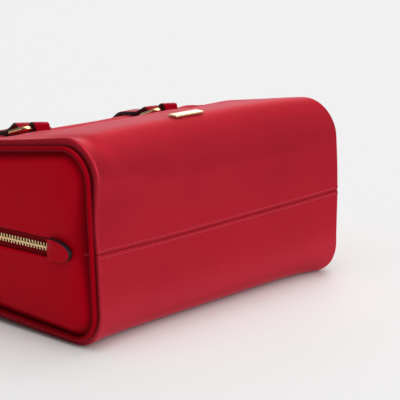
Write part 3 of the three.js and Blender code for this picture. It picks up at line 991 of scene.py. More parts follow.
def add_wall(piece, thickness, offset=-1.0):
    """Gives a shell its thickness, inwards unless told otherwise."""
    wall = piece.modifiers.new("Wall", "SOLIDIFY")
    wall.thickness = thickness
    wall.offset = offset
    wall.use_even_offset = True


def axes_matrix(centre, first, second, third):
    """A matrix that takes the three unit axes to these directions, round a centre."""
    columns = Matrix((first, second, third)).transposed()
    return Matrix.Translation(centre) @ columns.to_4x4()


def add_stitch(bm, centre, along, across, out, length):
    """One stitch: a plump bead of thread half sunk in the leather."""
    matrix = axes_matrix(centre, along * (length / 2), across * THREAD, out * THREAD)
    bmesh.ops.create_uvsphere(bm, u_segments=6, v_segments=5, radius=1.0, matrix=matrix)


def add_block(bm, row):
    """Adds a block by its middle and size in millimetres, and gives its vertices."""
    size = Matrix.Diagonal((*(Vector(row["size"]) * MM), 1.0))
    made = bmesh.ops.create_cube(bm, size=1.0, matrix=Matrix.Translation(Vector(row["at"]) * MM) @ size)
    return made["verts"]


def edges_at(bm, verts):
    """The edges that touch any of these vertices, in the mesh's order."""
    wanted = set(verts)
    return [edge for edge in bm.edges if wanted.intersection(edge.verts)]


def round_edges(bm, edges, offset, segments):
    """Rounds edges off."""
    bmesh.ops.bevel(
        bm, geom=edges, offset=offset, affect="EDGES", segments=segments, profile=0.5, material=-1
    )


def rounded_section(width, thick, corner):
    """Points round a strap's section, as distances across and out."""
    points = []
    for quarter, (side, level) in enumerate(((1, 1), (-1, 1), (-1, -1), (1, -1))):
        for step in range(CORNER_STEPS + 1):
            turn = QUARTER * (quarter + step / CORNER_STEPS)
            across = side * (width / 2 - corner) + corner * math.cos(turn)
            out = level * (thick / 2 - corner) + corner * math.sin(turn)
            points.append(Vector((across, out)))
    return points


def sweep(stations):
    """A strap through stations: their centres, directions across, widths, thicknesses, corners and paint."""
    last = len(stations) - 1
    rings = []
    for i, station in enumerate(stations):
        onward = stations[min(i + 1, last)]["centre"] - stations[max(i - 1, 0)]["centre"]
        across = station["across"].normalized()
        out = onward.cross(across).normalized()
        section = rounded_section(station["width"], station["thick"], station["corner"])
        rings.append([station["centre"] + across * at.x + out * at.y for at in section])
    around = len(rings[0])
    length = 0.0
    for before, after in zip(stations, stations[1:]):
        length += (after["centre"] - before["centre"]).length / MM

    def place(a, b):
        return rings[round(a * last)][round(b * around) % around]

    bm = bent_grid(last, around, place, (length, 1.0))
    quarter = CORNER_STEPS + 1
    uv = bm.loops.layers.uv.active
    for face in bm.faces:
        distance, turned = middle_uv(face, uv)
        side = (turned * around) % (2 * quarter)
        painted = stations[round(distance / length * last)]["painted"]
        on_edge = abs(side - quarter) > quarter / 2
        face.material_index = PAINT if painted and on_edge else 0
    close_up(bm)
    return bm


def smooth_stations(stations, spacing):
    """More stations on a smooth curve through the given ones, about a spacing apart."""
    dense = []
    for i, (first, second) in enumerate(zip(stations, stations[1:])):
        before = stations[max(i - 1, 0)]["centre"]
        after = stations[min(i + 2, len(stations) - 1)]["centre"]
        gap = (second["centre"] - first["centre"]).length
        steps = max(1, math.ceil(gap / spacing))
        leaving = limited((second["centre"] - before) / 2, gap)
        arriving = limited((after - first["centre"]) / 2, gap)
        for step in range(steps):
            dense.append(blend_stations(first, second, leaving, arriving, step / steps))
    dense.append(stations[-1])
    return dense


def blend_stations(first, second, leaving, arriving, share):
    """A station between two others, on the smooth curve that leaves one and arrives at the next."""
    made = {key: lerp(first[key], second[key], share) for key in ("width", "thick", "corner")}
    made["centre"] = hermite(first["centre"], second["centre"], leaving, arriving, share)
    made["across"] = first["across"].normalized().lerp(second["across"].normalized(), share)
    made["painted"] = first["painted"]
    return made


class SATCHEL_OT_leather_panels(bpy.types.Operator):
    """Front and back panels: one leather wall each, from the zip's slot to the seam along the base"""

    bl_idname = "satchel.leather_panels"
    bl_label = "Leather Panels"

    COLUMNS = 110
    ROWS = 170
    UV_SIZE = (240.0, 240.0)
    SEAM_GAP = 0.12 * MM
    # Painted shade: in the groove of the base seam, and beside the piping
    SEAM_DARK = 0.48
    PIPING_DARK = 0.85
    FADE_START = 0.2  # the painted shade beside the piping fades between these shares of the roll's rise
    FADE_END = 0.97
    CREST = 4.2 * MM  # the roll's crest, from the end of the bag
    CREST_WIDE = 0.7 * MM
    CORNER = 22 * MM  # where the crest's painted highlight is strongest, past the front
    CORNER_LONG = 26 * MM
    # Painted highlight: weakest and strongest on the crest, and on the base's lower edge
    HIGHLIGHT_LEAST = 0.06
    HIGHLIGHT_MOST = 0.25
    LOWER_EDGE = 134 * MM  # the base's lower edge, past the front
    LOWER_LONG = 20 * MM
    LOWER_HIGHLIGHT = 0.32

    def execute(self, context):
        shop = Shop(context)
        form = shop.form
        seam_gap = self.SEAM_GAP / 2
        spans = {
            "front_panel": (SLOT_HALF, form.seam - seam_gap, EDGE_TURN, SEAM_TURN),
            "back_panel": (form.seam + seam_gap, form.outline.length - SLOT_HALF, SEAM_TURN, EDGE_TURN),
        }
        for node, (start, end, turn_start, turn_end) in spans.items():
            spread = self.spreader(form, start, end)
            place = self.placer(form, spread, start, end, turn_start, turn_end)
            painted_shade = self.shade_painter(form, spread, start, end, turn_start, turn_end)
            bm = bent_grid(self.COLUMNS, self.ROWS, place, self.UV_SIZE, painted_shade, self.highlight_painter(form, spread))
            face_outwards(bm, form.middle())
            piece = shop.piece(f"{node}_leather", bm, ["leather"], "red_leather", [node], sharp_past=60)
            add_wall(piece, shop.sizes.wall)
        return {"FINISHED"}

    @staticmethod
    def spreader(form, start, end):
        """The function that takes two shares of a panel to places along the bag and along its outline."""
        reach = form.half - form.sizes.piping - CLEAR

        def spread(a, b):
            return reach * math.sin((a - 0.5) * math.pi), lerp(start, end, gathered(b))

        return spread

    @staticmethod
    def placer(form, spread, start, end, turn_start, turn_end):
        """The function that takes two shares of a panel to its leather, with both edges turned."""

        def place(a, b):
            x, along = spread(a, b)
            dropped = turned_edge(along - start, turn_start) + turned_edge(end - along, turn_end)
            return form.settle(form.leather(x, along, dropped))

        return place

    def shade_painter(self, form, spread, start, end, turn_start, turn_end):
        """The function that tells how much painted shade the leather has: by the piping, at its edges and in
        shaded places.
        """

        def painted_shade(a, b):
            x, along = spread(a, b)
            beside = self.PIPING_DARK * (1 - smoothstep(form.rolled(x), self.FADE_START, self.FADE_END))
            edge = max(turned_edge(along - start, turn_start), turned_edge(end - along, turn_end))
            shaded = sum(row["dark"] * form.mound(row, x, along) for row in SHADED)
            return max(beside, clamp(edge / SEAM_TURN) * self.SEAM_DARK) + shaded

        return painted_shade

    def highlight_painter(self, form, spread):
        """The function that tells how much painted highlight the leather has: on the roll's crest and low on
        the base.
        """

        def painted_highlight(a, b):
            x, along = spread(a, b)
            across = (form.half - abs(x) - self.CREST) / self.CREST_WIDE
            corner = (along - form.front_end - self.CORNER) / self.CORNER_LONG
            lower = (along - form.front_end - self.LOWER_EDGE) / self.LOWER_LONG
            crest = math.exp(-(across**2)) * lerp(self.HIGHLIGHT_LEAST, self.HIGHLIGHT_MOST, math.exp(-(corner**2)))
            return crest + self.LOWER_HIGHLIGHT * math.exp(-(lower**2))

        return painted_highlight


class SATCHEL_OT_end_panels(bpy.types.Operator):
    """End panels: a leather wall inside the piping, with a slot for the zip that is open at the top"""

    bl_idname = "satchel.end_panels"
    bl_label = "End Panels"

    COLUMNS = 200
    ROWS = 44
    UV_SIZE = (300.0, 60.0)
    # Painted shade towards the panel's rim, deepest beside the piping
    RIM_DARK = 0.8
    RIM_SHADE_WIDE = 9 * MM  # painted shade darkens the leather up to here from its rim
    SHADOW_WIDE = 22 * MM  # and up to here beside the upper part of the base
    SHADOW_AT = 0.47  # where that part is and how long it is, as shares of the way round
    SHADOW_LONG = 0.06

    def execute(self, context):
        shop = Shop(context)
        form = shop.form
        for end, side in ENDS.items():
            node = f"end_panel_{end}"
            painted_shade = self.shade_painter(form, side)
            bm = bent_grid(self.COLUMNS, self.ROWS, self.placer(form, side), self.UV_SIZE, painted_shade)
            face_outwards(bm, form.middle())
            piece = shop.piece(f"{node}_leather", bm, ["end"], "red_leather", [node], sharp_past=60)
            add_wall(piece, shop.sizes.wall)
        return {"FINISHED"}

    def shade_painter(self, form, side):
        """The function that tells how much painted shade the leather has towards its rim."""
        spoke = self.spokes(form, side)

        def painted_shade(a, b):
            inner, rim = spoke(a)
            distance = (rim - inner).length * (1 - gathered(b))
            beside_base = math.exp(-(((a - self.SHADOW_AT) / self.SHADOW_LONG) ** 2))
            wide = lerp(self.RIM_SHADE_WIDE, self.SHADOW_WIDE, beside_base)
            return self.RIM_DARK * (1 - smoothstep(distance, 0, wide)) ** 2

        return painted_shade

    @staticmethod
    def spokes(form, side):
        """The function that takes a share round the panel to a point of its slot and one of its rim."""
        inset = form.sizes.piping + CLEAR
        top = form.zip.x - inset
        margin = SLOT_HALF + SLOT_SHOULDER
        turn = ((Vector((SLOT_END + SLOT_HALF, 0)), SLOT_HALF, QUARTER, 2 * QUARTER),)
        slot = Course(Vector((top, SLOT_HALF)), turn, Vector((top, -SLOT_HALF)))

        def spoke(a):
            at, outward = form.edge(lerp(margin, form.outline.length - margin, a), -side * form.half)
            inner, _ = slot.at(a * slot.length)
            return Vector((inner.x, inner.y + form.zip_level(inner.x))), at - outward * inset

        return spoke

    @classmethod
    def placer(cls, form, side):
        """The function that takes a share round the panel and one from slot to rim to the leather."""
        spoke = cls.spokes(form, side)

        def place(a, b):
            inner, rim = spoke(a)
            share = gathered(b)
            point = inner.lerp(rim, share)
            rise = math.sin(clamp((1 - share) / END_RISE) * QUARTER)
            groove = END_GROOVE * (1 - smoothstep((point - rim).length, 0, END_GROOVE_WIDE))
            dropped = groove + turned_edge((point - inner).length, EDGE_TURN)
            x = -form.half - END_EDGE - END_BULGE * rise + dropped
            return form.settle(Vector((side * x, point.x, point.y)))

        return place


class SATCHEL_OT_piping(bpy.types.Operator):
    """Piped welt round each end panel"""

    bl_idname = "satchel.piping"
    bl_label = "Piping"

    COLUMNS = 260
    ROWS = 16
    UV_SIZE = (480.0, 14.0)
    # Painted shade on the piping, lighter where it faces the light
    DARK = 0.9
    LIT = 0.45  # how much less dark it is where it faces the light
    LIT_OUT = 0.6  # the way to the light, out of the outline and past the end
    LIT_PAST = 0.8

    def execute(self, context):
        shop = Shop(context)
        form = shop.form
        for end, side in ENDS.items():
            bm = bent_grid(self.COLUMNS, self.ROWS, self.placer(form, side), self.UV_SIZE, self.painted_shade)
            close_up(bm)
            shop.piece(f"piping_{end}_welt", bm, ["end"], "red_leather", [f"piping_{end}"])
        return {"FINISHED"}

    def painted_shade(self, _, b):
        """How much painted shade the piping has at a share of the way round it."""
        turn = TURN * b
        facing = clamp(self.LIT_OUT * math.sin(turn) - self.LIT_PAST * math.cos(turn))
        return self.DARK - self.LIT * facing**2

    @staticmethod
    def placer(form, side):
        """The function that takes a share along the piping and one round it to its skin."""
        radius = form.sizes.piping

        def place(a, b):
            along = lerp(SLOT_HALF, form.outline.length - SLOT_HALF, a)
            at, outward = form.edge(along, -side * form.half)
            turn = TURN * b
            at = at + outward * (radius * math.sin(turn))
            return form.settle(Vector((side * (radius * math.cos(turn) - form.half), at.x, at.y)))

        return place


class SATCHEL_OT_topstitching(bpy.types.Operator):
    """Rows of stitches beside the base seam, and a tack at each end of it"""

    bl_idname = "satchel.topstitching"
    bl_label = "Topstitching"

    FROM_SEAM = 2.2 * MM
    FROM_PIPING = 2 * MM
    TACK_SHARE = 0.8  # where the tack is, from the panel's slot to its rim
    TACK_STEP = 0.05
    TACK_LENGTH = 4 * MM
    FILL = 0.74  # share of a stitch's length that is thread

    def execute(self, context):
        shop = Shop(context)
        form = shop.form
        bm = bmesh.new()
        self.base_rows(bm, form)
        for side in ENDS.values():
            self.tack(bm, form, side)
        shop.piece("base_seam_stitches", bm, ["thread"], "red_leather", [])
        return {"FINISHED"}

    def base_rows(self, bm, form):
        """Two rows along the base, one on each side of its seam."""
        pitch = form.sizes.stitch
        reach = form.half - form.sizes.piping - self.FROM_PIPING
        count = int(2 * reach / pitch)
        for side in (-1, 1):
            for i in range(count + 1):
                x = lerp(-reach, reach, i / count)
                centre, along, across, out = form.leather_frame(x, form.seam + side * self.FROM_SEAM, 0)
                add_stitch(bm, centre, along, across, out, pitch * self.FILL)

    def tack(self, bm, form, side):
        """One long stitch at the rim of an end panel, in line with the base seam."""
        place = SATCHEL_OT_end_panels.placer(form, side)
        margin = SLOT_HALF + SLOT_SHOULDER
        share = (form.seam - margin) / (form.outline.length - 2 * margin)
        here = place(share, self.TACK_SHARE)
        along = (place(share, self.TACK_SHARE + self.TACK_STEP) - here).normalized()
        out = Vector((-side, 0, 0))
        add_stitch(bm, here, along, along.cross(out), out, self.TACK_LENGTH)


class SATCHEL_OT_zip_tapes(bpy.types.Operator):
    """The two woven tapes of the zip, up one end, over the top and down the other"""

    bl_idname = "satchel.zip_tapes"
    bl_label = "Zip Tapes"

    COLUMNS = 220
    ROWS = 6

    def execute(self, context):
        shop = Shop(context)
        form = shop.form
        course = form.zip_course(TAPE_START, 0)
        uv_size = (course.length / MM, shop.sizes.tape / MM)
        for name, side in {"front": -1, "back": 1}.items():
            bm = bent_grid(self.COLUMNS, self.ROWS, self.placer(form, course, side), uv_size)
            face_outwards(bm, form.middle())
            node = f"zip_tape_{name}"
            piece = shop.piece(f"{node}_weave", bm, ["tape"], "zip_cloth", [node])
            add_wall(piece, TAPE_THICK, 0.0)
        return {"FINISHED"}

    @staticmethod
    def placer(form, course, side):
        """The function that takes a share along a tape and one across it to the tape's middle layer."""
        width = form.sizes.tape
        inner = (width + CLEAR) / 2

        def place(a, b):
            centre, _, across, _ = form.zip_frame(course, a * course.length)
            return form.settle(centre - across * (side * inner + (b - 0.5) * width))

        return place


class SATCHEL_OT_zip_teeth(bpy.types.Operator):
    """The closed rows of metal teeth, which meet in the middle"""

    bl_idname = "satchel.zip_teeth"
    bl_label = "Zip Teeth"

    # Blocks of a tooth: their middles and sizes along the zip, away from its middle and out
    BLOCKS = (
        {"block": "shank", "at": (0, 1.45, -0.4), "size": (0.8, 2.3, 0.9)},
        {"block": "head", "at": (0, 0.3, -0.05), "size": (1.8, 0.8, 1.6)},
    )
    ROUNDING = 0.3 * MM

    def execute(self, context):
        shop = Shop(context)
        form = shop.form
        over = TAPE_THICK / 2 + CLEAR + CHAIN_THICK / 2
        course = form.zip_course(CHAIN_START, over)
        tooth = self.tooth()
        bm = bmesh.new()
        pitch = shop.sizes.tooth_pitch
        count = int(course.length / pitch)
        for i in range(2 * count):
            side = 1 if i % 2 else -1
            centre, along, across, out = form.zip_frame(course, (i + 0.5) * pitch / 2)
            start = len(bm.verts)
            bm.from_mesh(tooth)
            bm.verts.ensure_lookup_table()
            matrix = axes_matrix(form.settle(centre), along, across * side, out)
            bmesh.ops.transform(bm, matrix=matrix, verts=bm.verts[start:])
        bmesh.ops.recalc_face_normals(bm, faces=bm.faces)
        bpy.data.meshes.remove(tooth)
        shop.piece("zip_chain_teeth", bm, ["teeth"], "gold_metal", ["zip_chain"], sharp_past=30)
        return {"FINISHED"}

    def tooth(self):
        """One tooth: a shank with a broad head at the zip's middle, with rounded tops."""
        bm = bmesh.new()
        for row in self.BLOCKS:
            add_block(bm, row)
        top = [edge for edge in bm.edges if all(vert.co.z > 0 for vert in edge.verts)]
        round_edges(bm, top, self.ROUNDING, segments=2)
        return make_mesh("tooth", bm)


class SATCHEL_OT_zip_end_tabs(bpy.types.Operator):
    """Half-round leather tabs over the ends of the zip, with painted edges"""

    bl_idname = "satchel.zip_end_tabs"
    bl_label = "Zip End Tabs"

    SIDES = 64
    SQUARE = 8  # power of the curve that squares the end at the chain
    LIFT = 0.6  # how much more the edge stands up on one side
    LIFT_TURN = math.radians(120)  # and the turn to that side
    # Rows from the middle of the underside to the crown: share of the outline and height
    PROFILE = (
        {"row": "underside", "share": 0, "height": 0},
        {"row": "lower edge", "share": 0.95, "height": 0},
        {"row": "side", "share": 1, "height": 0.4},
        {"row": "side top", "share": 1, "height": 2.2},
        {"row": "upper edge", "share": 0.965, "height": 2.6},
        {"row": "shoulder", "share": 0.9, "height": 2.75},
        {"row": "slope", "share": 0.7, "height": 3.1},
        {"row": "round", "share": 0.4, "height": 3.35},
        {"row": "crown", "share": 0, "height": 3.4},
    )
    PAINTED_ROWS = (1, 4)

    def execute(self, context):
        shop = Shop(context)
        for end, side in ENDS.items():
            bm = self.tab(shop.form, side)
            node = f"zip_end_tab_{end}"
            shop.piece(f"{node}_leather", bm, ["end", "paint"], "red_leather", [node], sharp_past=50)
        return {"FINISHED"}

    def outline(self, turn):
        """A point of the tab's outline: half round towards the base, square towards the chain."""
        radius = END_TAB_WIDTH / 2
        round_x = math.cos(turn)
        round_y = math.sin(turn)
        if round_x <= 0:
            return Vector((round_x * TIP_LONG, round_y * radius))
        norm = (abs(round_x) ** self.SQUARE + abs(round_y) ** self.SQUARE) ** (1 / self.SQUARE)
        long = TAB_EDGE - TAB_TIP - TIP_LONG
        return Vector((round_x * long, round_y * radius)) / norm

    def tab(self, form, side):
        """A crowned tab that lies on the end panel."""
        seat = form.half + END_EDGE + END_BULGE + CLEAR
        centre = Vector((TAB_TIP + TIP_LONG, form.zip_level((TAB_TIP + TAB_EDGE) / 2)))
        rows = len(self.PROFILE) - 1

        def place(a, b):
            row = self.PROFILE[round(b * rows)]
            turn = TURN * a
            at = centre + self.outline(turn) * row["share"]
            lifted = 1 + self.LIFT * row["share"] * clamp(math.cos(turn - self.LIFT_TURN))
            return form.settle(Vector((-side * (seat + row["height"] * lifted * MM), at.x, at.y)))

        bm = bent_grid(self.SIDES, rows, place, (1.0, rows))
        uv = bm.loops.layers.uv.active
        first, last = self.PAINTED_ROWS
        for face in bm.faces:
            _, row = middle_uv(face, uv)
            face.material_index = PAINT if first < row < last else 0
        close_up(bm)
        return bm


class SATCHEL_OT_zip_slider(bpy.types.Operator):
    """Zip slider with its bridge and pull, on the right end panel"""

    bl_idname = "satchel.zip_slider"
    bl_label = "Zip Slider"

    # Blocks of the slider: their middles and sizes along the zip, across it and out
    BLOCKS = (
        {"block": "body", "at": (5.5, 0, 0.8), "size": (11, 8, 1.6), "rim": 0.28},
        {"block": "bridge", "at": (5.5, 0, 2.0), "size": (7.5, 2.6, 1.6), "rim": 0.28},
        {"block": "link", "at": (12.5, 0, 2.2), "size": (5, 4.4, 1.4), "rim": 0.24},
        {"block": "pull", "at": (25, 0, 2.2), "size": (22, 7, 1.5), "rim": 0.24},
    )
    CORNER = 0.3  # radius of a block's corners, as a share of its width
    RIM_ANGLE = 1  # in radians; edges that turn more than this are rims

    def execute(self, context):
        shop = Shop(context)
        form = shop.form
        bm = bmesh.new()
        for row in self.BLOCKS:
            self.block(bm, row)
        seat = form.half + END_EDGE + END_BULGE + CLEAR
        level = form.zip_level(SLIDER_START + SLIDER_BODY)
        for vert in bm.verts:
            at = vert.co
            vert.co = form.settle(Vector((seat + at.z, SLIDER_START + at.x, level + at.y)))
        bmesh.ops.recalc_face_normals(bm, faces=bm.faces)
        shop.piece("zip_slider_metal", bm, ["gold"], "gold_metal", ["zip_slider"], sharp_past=30)
        return {"FINISHED"}

    def block(self, bm, row):
        """Adds a block with rounded corners, and rounds the rims at the last vertices of the mesh.

        New vertices also fill places freed before, so the bridge and the pull keep most of their rims sharp.
        """
        start = len(bm.verts)
        _, width, height = Vector(row["size"]) * MM
        edges = edges_at(bm, add_block(bm, row))
        upright = [edge for edge in edges if abs(edge.verts[0].co.z - edge.verts[1].co.z) > height / 2]
        round_edges(bm, upright, width * self.CORNER, segments=5)
        bm.verts.ensure_lookup_table()
        edges = edges_at(bm, bm.verts[start:])
        rims = [edge for edge in edges if edge.calc_face_angle(0) > self.RIM_ANGLE]
        round_edges(bm, rims, row["rim"] * MM, segments=2)


def fittings():
    """Each ring and tab of the handles: its name, its place along the bag and whether it is on the front."""
    for side in COURSES:
        for hand, sign in HANDS.items():
            yield f"{side}_{hand}", sign * FITTING_X, side == "front"


class SATCHEL_OT_handle_rings(bpy.types.Operator):
    """Wire rings, bent to rounded rectangles, that join the handles to their tabs"""

    bl_idname = "satchel.handle_rings"
    bl_label = "Handle Rings"

    COLUMNS = 120
    ROWS = 16

    def execute(self, context):
        shop = Shop(context)
        form = shop.form
        for name, x, front in fittings():
            bm = bent_grid(self.COLUMNS, self.ROWS, self.placer(form, form.ring_axes(x, front)))
            close_up(bm)
            node = f"handle_ring_{name}"
            shop.piece(f"{node}_wire", bm, ["gold"], "gold_metal", [node])
        return {"FINISHED"}

    @staticmethod
    def placer(form, axes):
        """The function that takes a share round the ring and one round its wire to its skin."""
        sizes = form.sizes
        origin, across, to_zip, out = axes
        wide = sizes.ring_wide / 2 - sizes.ring_corner
        long = sizes.ring_long / 2 - sizes.ring_corner
        corners = ((wide, long), (-wide, long), (-wide, -long), (wide, -long))
        arcs = [(Vector(at), sizes.ring_corner, i * QUARTER, QUARTER) for i, at in enumerate(corners)]
        start = Vector((sizes.ring_wide / 2, 0))
        course = Course(start, arcs, start)

        def place(a, b):
            at, tangent = course.at((a % 1) * course.length)
            turn = TURN * b
            aside = sizes.ring_wire * math.cos(turn)
            flat = Vector((at.x + tangent.y * aside, at.y - tangent.x * aside))
            rise = sizes.ring_wire * math.sin(turn)
            return form.settle(origin + across * flat.x + to_zip * flat.y + out * rise)

        return place


def fold_points(sizes, fold, sign):
    """Points of a strap's fold round a wire, from under it to over it, as distances along and out."""
    radius = sizes.ring_wire + fold["clear"] + sizes.strap_thick / 2
    points = []
    for i in range(FOLD_STEPS + 1):
        turn = math.pi * (i / FOLD_STEPS - 0.5)
        points.append((sign * radius * math.cos(turn), fold["lift"] + radius * math.sin(turn)))
    return points


class SATCHEL_OT_handle_tabs(bpy.types.Operator):
    """Leather tabs, folded round the rings' near wires and sewn to the panels"""

    bl_idname = "satchel.handle_tabs"
    bl_label = "Handle Tabs"

    SPACING = 0.8 * MM

    def execute(self, context):
        shop = Shop(context)
        for name, x, front in fittings():
            bm = sweep(smooth_stations(self.stations(shop.form, x, front), self.SPACING))
            node = f"handle_tab_{name}"
            shop.piece(f"{node}_leather", bm, ["strap", "paint"], "red_leather", [node], sharp_past=50)
        return {"FINISHED"}

    @staticmethod
    def stations(form, x, front):
        """The tab from its lower sewn end, round the wire, to its upper one."""
        sizes = form.sizes
        wire = -sizes.ring_long / 2
        under = TAB_CLEAR + sizes.strap_thick / 2
        over = under + sizes.strap_thick + CLEAR
        fold = fold_points(sizes, TAB_FOLD, 1)
        crest = form.ring_lie + fold[-1][1]
        back = crest - form.ring_lie
        course = [(wire - back, under), (wire - back / 2, under)]
        course += [(wire + along, form.ring_lie + out) for along, out in fold]
        course += [
            (wire - back / 2, crest - CLEAR),
            (wire - back, crest - sizes.strap_thick * FOLD_DROP),
            (wire - TAB_CLOSED, over),
            (wire - TAB_LENGTH, 0),
        ]
        stations = []
        for along, out in course:
            left = form.settle(form.fitting(x, front, -sizes.strap_width / 2, along, out))
            right = form.settle(form.fitting(x, front, sizes.strap_width / 2, along, out))
            rounding = smoothstep(wire - along, TAB_CLOSED - CLEAR, TAB_LENGTH)
            stations.append({
                "centre": left.lerp(right, 0.5), "across": right - left,
                "width": sizes.strap_width * (1 - TAB_ROUNDING * rounding),
                "thick": sizes.strap_thick, "corner": STRAP_CORNER, "painted": True,
            })
        return stations


class SATCHEL_OT_handles(bpy.types.Operator):
    """Handles: straps folded round the rings' far wires, rolled to a round grip between them"""

    bl_idname = "satchel.handles"
    bl_label = "Handles"

    SPACING = 1.5 * MM

    def execute(self, context):
        shop = Shop(context)
        for side in COURSES:
            bm = sweep(smooth_stations(self.stations(shop.form, side), self.SPACING))
            node = f"handle_{side}"
            shop.piece(f"{node}_strap", bm, ["strap", "paint"], "red_leather", [node], sharp_past=50)
        return {"FINISHED"}

    @staticmethod
    def course(form, x, side):
        """Course of a handle's leg seen from the end: from the ring along the leather, then free."""
        points = []
        for past in COURSES[side]["lie"]:
            height = LIE_HEIGHT if past else form.ring_lie
            at = form.fitting(x, side == "front", 0, form.sizes.ring_long / 2 + past * MM, height)
            points.append(Vector((at.y, at.z)))
        for row in COURSES[side]["fall"]:
            turn = math.radians(row["slope"])
            step = Vector((math.cos(turn), -math.sin(turn))) * (row["run"] * MM)
            points.append(points[-1] + step)
        return Spline(points)

    def half(self, form, reach):
        """Half a handle, as rows of x, distance along its course, out, width, thickness and corner."""
        sizes = form.sizes
        layer = (sizes.strap_thick + CLEAR) / 2
        double = 2 * layer + sizes.strap_thick
        single = (sizes.strap_width, sizes.strap_thick, STRAP_CORNER)
        rows = [(-FITTING_X, TAIL_LENGTH, -layer, *single), (-FITTING_X, TAIL_CLOSED, -layer, *single)]
        rows += [(-FITTING_X, along, out, *single) for along, out in fold_points(sizes, HANDLE_FOLD, -1)]
        rows += [
            (-FITTING_X, TAIL_CLOSED, layer, *single),
            (-FITTING_X, TAIL_LENGTH + TAIL_STEP, layer, *single),
            (-FITTING_X, LEG_CLOSED, 0, sizes.strap_width, double, STRAP_CORNER),
        ]
        for i in range(GRIP_STEPS + 1):
            turn = QUARTER * i / GRIP_STEPS
            full = smoothstep(i / GRIP_STEPS, 0, GRIP_FULL)
            thick = lerp(double, sizes.grip_thick, full)
            rows.append((
                -FITTING_X * math.cos(turn),
                LEG_LENGTH + (reach - LEG_LENGTH - sizes.grip_width / 2) * math.sin(turn),
                0,
                lerp(sizes.strap_width, sizes.grip_width, full),
                thick,
                lerp(STRAP_CORNER, thick * GRIP_ROUND, full),
            ))
        return rows

    def stations(self, form, side):
        """The whole handle, from the tail of one leg to the tail of the other."""
        left = self.course(form, -FITTING_X, side)
        right = self.course(form, FITTING_X, side)
        half = self.half(form, right.length)
        whole = half + [(-row[0], *row[1:]) for row in reversed(half[:-1])]
        up = 1 if side == "front" else -1
        placed = []
        for x, along, out, *_ in whole:
            share = (x + FITTING_X) / (2 * FITTING_X)
            left_at, left_way = left.at(along)
            right_at, right_way = right.at(along)
            way = left_way.lerp(right_way, share)
            outward = Vector((-way.y, way.x))
            at = left_at.lerp(right_at, share) + outward * (up * out)
            placed.append((Vector((x, at.x, at.y)), Vector((0, outward.x, outward.y))))
        axes = {sign: form.ring_axes(sign * FITTING_X, side == "front")[1] * up for sign in HANDS.values()}
        stations = []
        last = len(whole) - 1
        for i, (x, along, _, width, thick, corner) in enumerate(whole):
            hand = nearer_end(x)
            onward = placed[min(i + 1, last)][0] - placed[max(i - 1, 0)][0]
            across = placed[i][1].cross(onward)
            if along < TAIL_CLOSED:
                across = axes[hand] * hand
            elif abs(x) > FITTING_X - CLEAR:
                across = Vector((hand, 0, 0))
            stations.append({
                "centre": form.settle(placed[i][0]), "across": across, "width": width,
                "thick": thick, "corner": corner, "painted": corner < 2 * STRAP_CORNER,
            })
        return stations


class SATCHEL_OT_badge(bpy.types.Operator):
    """Plain metal bar on the front, with rounded edges"""

    bl_idname = "satchel.badge"
    bl_label = "Badge"

    X = -5 * MM
    PAST_FRONT = 3.6 * MM
    THICK = 1.6 * MM
    COLUMNS = 24
    ROWS = 8
    UV_SIZE = (29.0, 7.0)
    RIM = 0.7 * MM  # a loop of edges that keeps the rounding narrow
    ROUNDING = 0.45 * MM
    ROUND_PAST = math.radians(50)

    def execute(self, context):
        shop = Shop(context)
        form = shop.form
        length = shop.sizes.badge_length
        width = shop.sizes.badge_width
        along = form.front_end + self.PAST_FRONT

        def place(a, b):
            at = form.leather(self.X + (a - 0.5) * length, along + (0.5 - b) * width, -CLEAR - self.THICK)
            return form.settle(at)

        bm = bent_grid(self.COLUMNS, self.ROWS, place, self.UV_SIZE)
        face_outwards(bm, form.middle())
        bmesh.ops.inset_region(
            bm, faces=bm.faces[:], thickness=self.RIM, depth=0.0, use_boundary=True, use_even_offset=True
        )
        piece = shop.piece("front_badge_bar", bm, ["gold"], "gold_metal", ["front_badge"], sharp_past=30)
        add_wall(piece, self.THICK)
        bevel = piece.modifiers.new("Rounded edges", "BEVEL")
        bevel.width = self.ROUNDING
        bevel.segments = 3
        bevel.limit_method = "ANGLE"
        bevel.angle_limit = self.ROUND_PAST
        return {"FINISHED"}


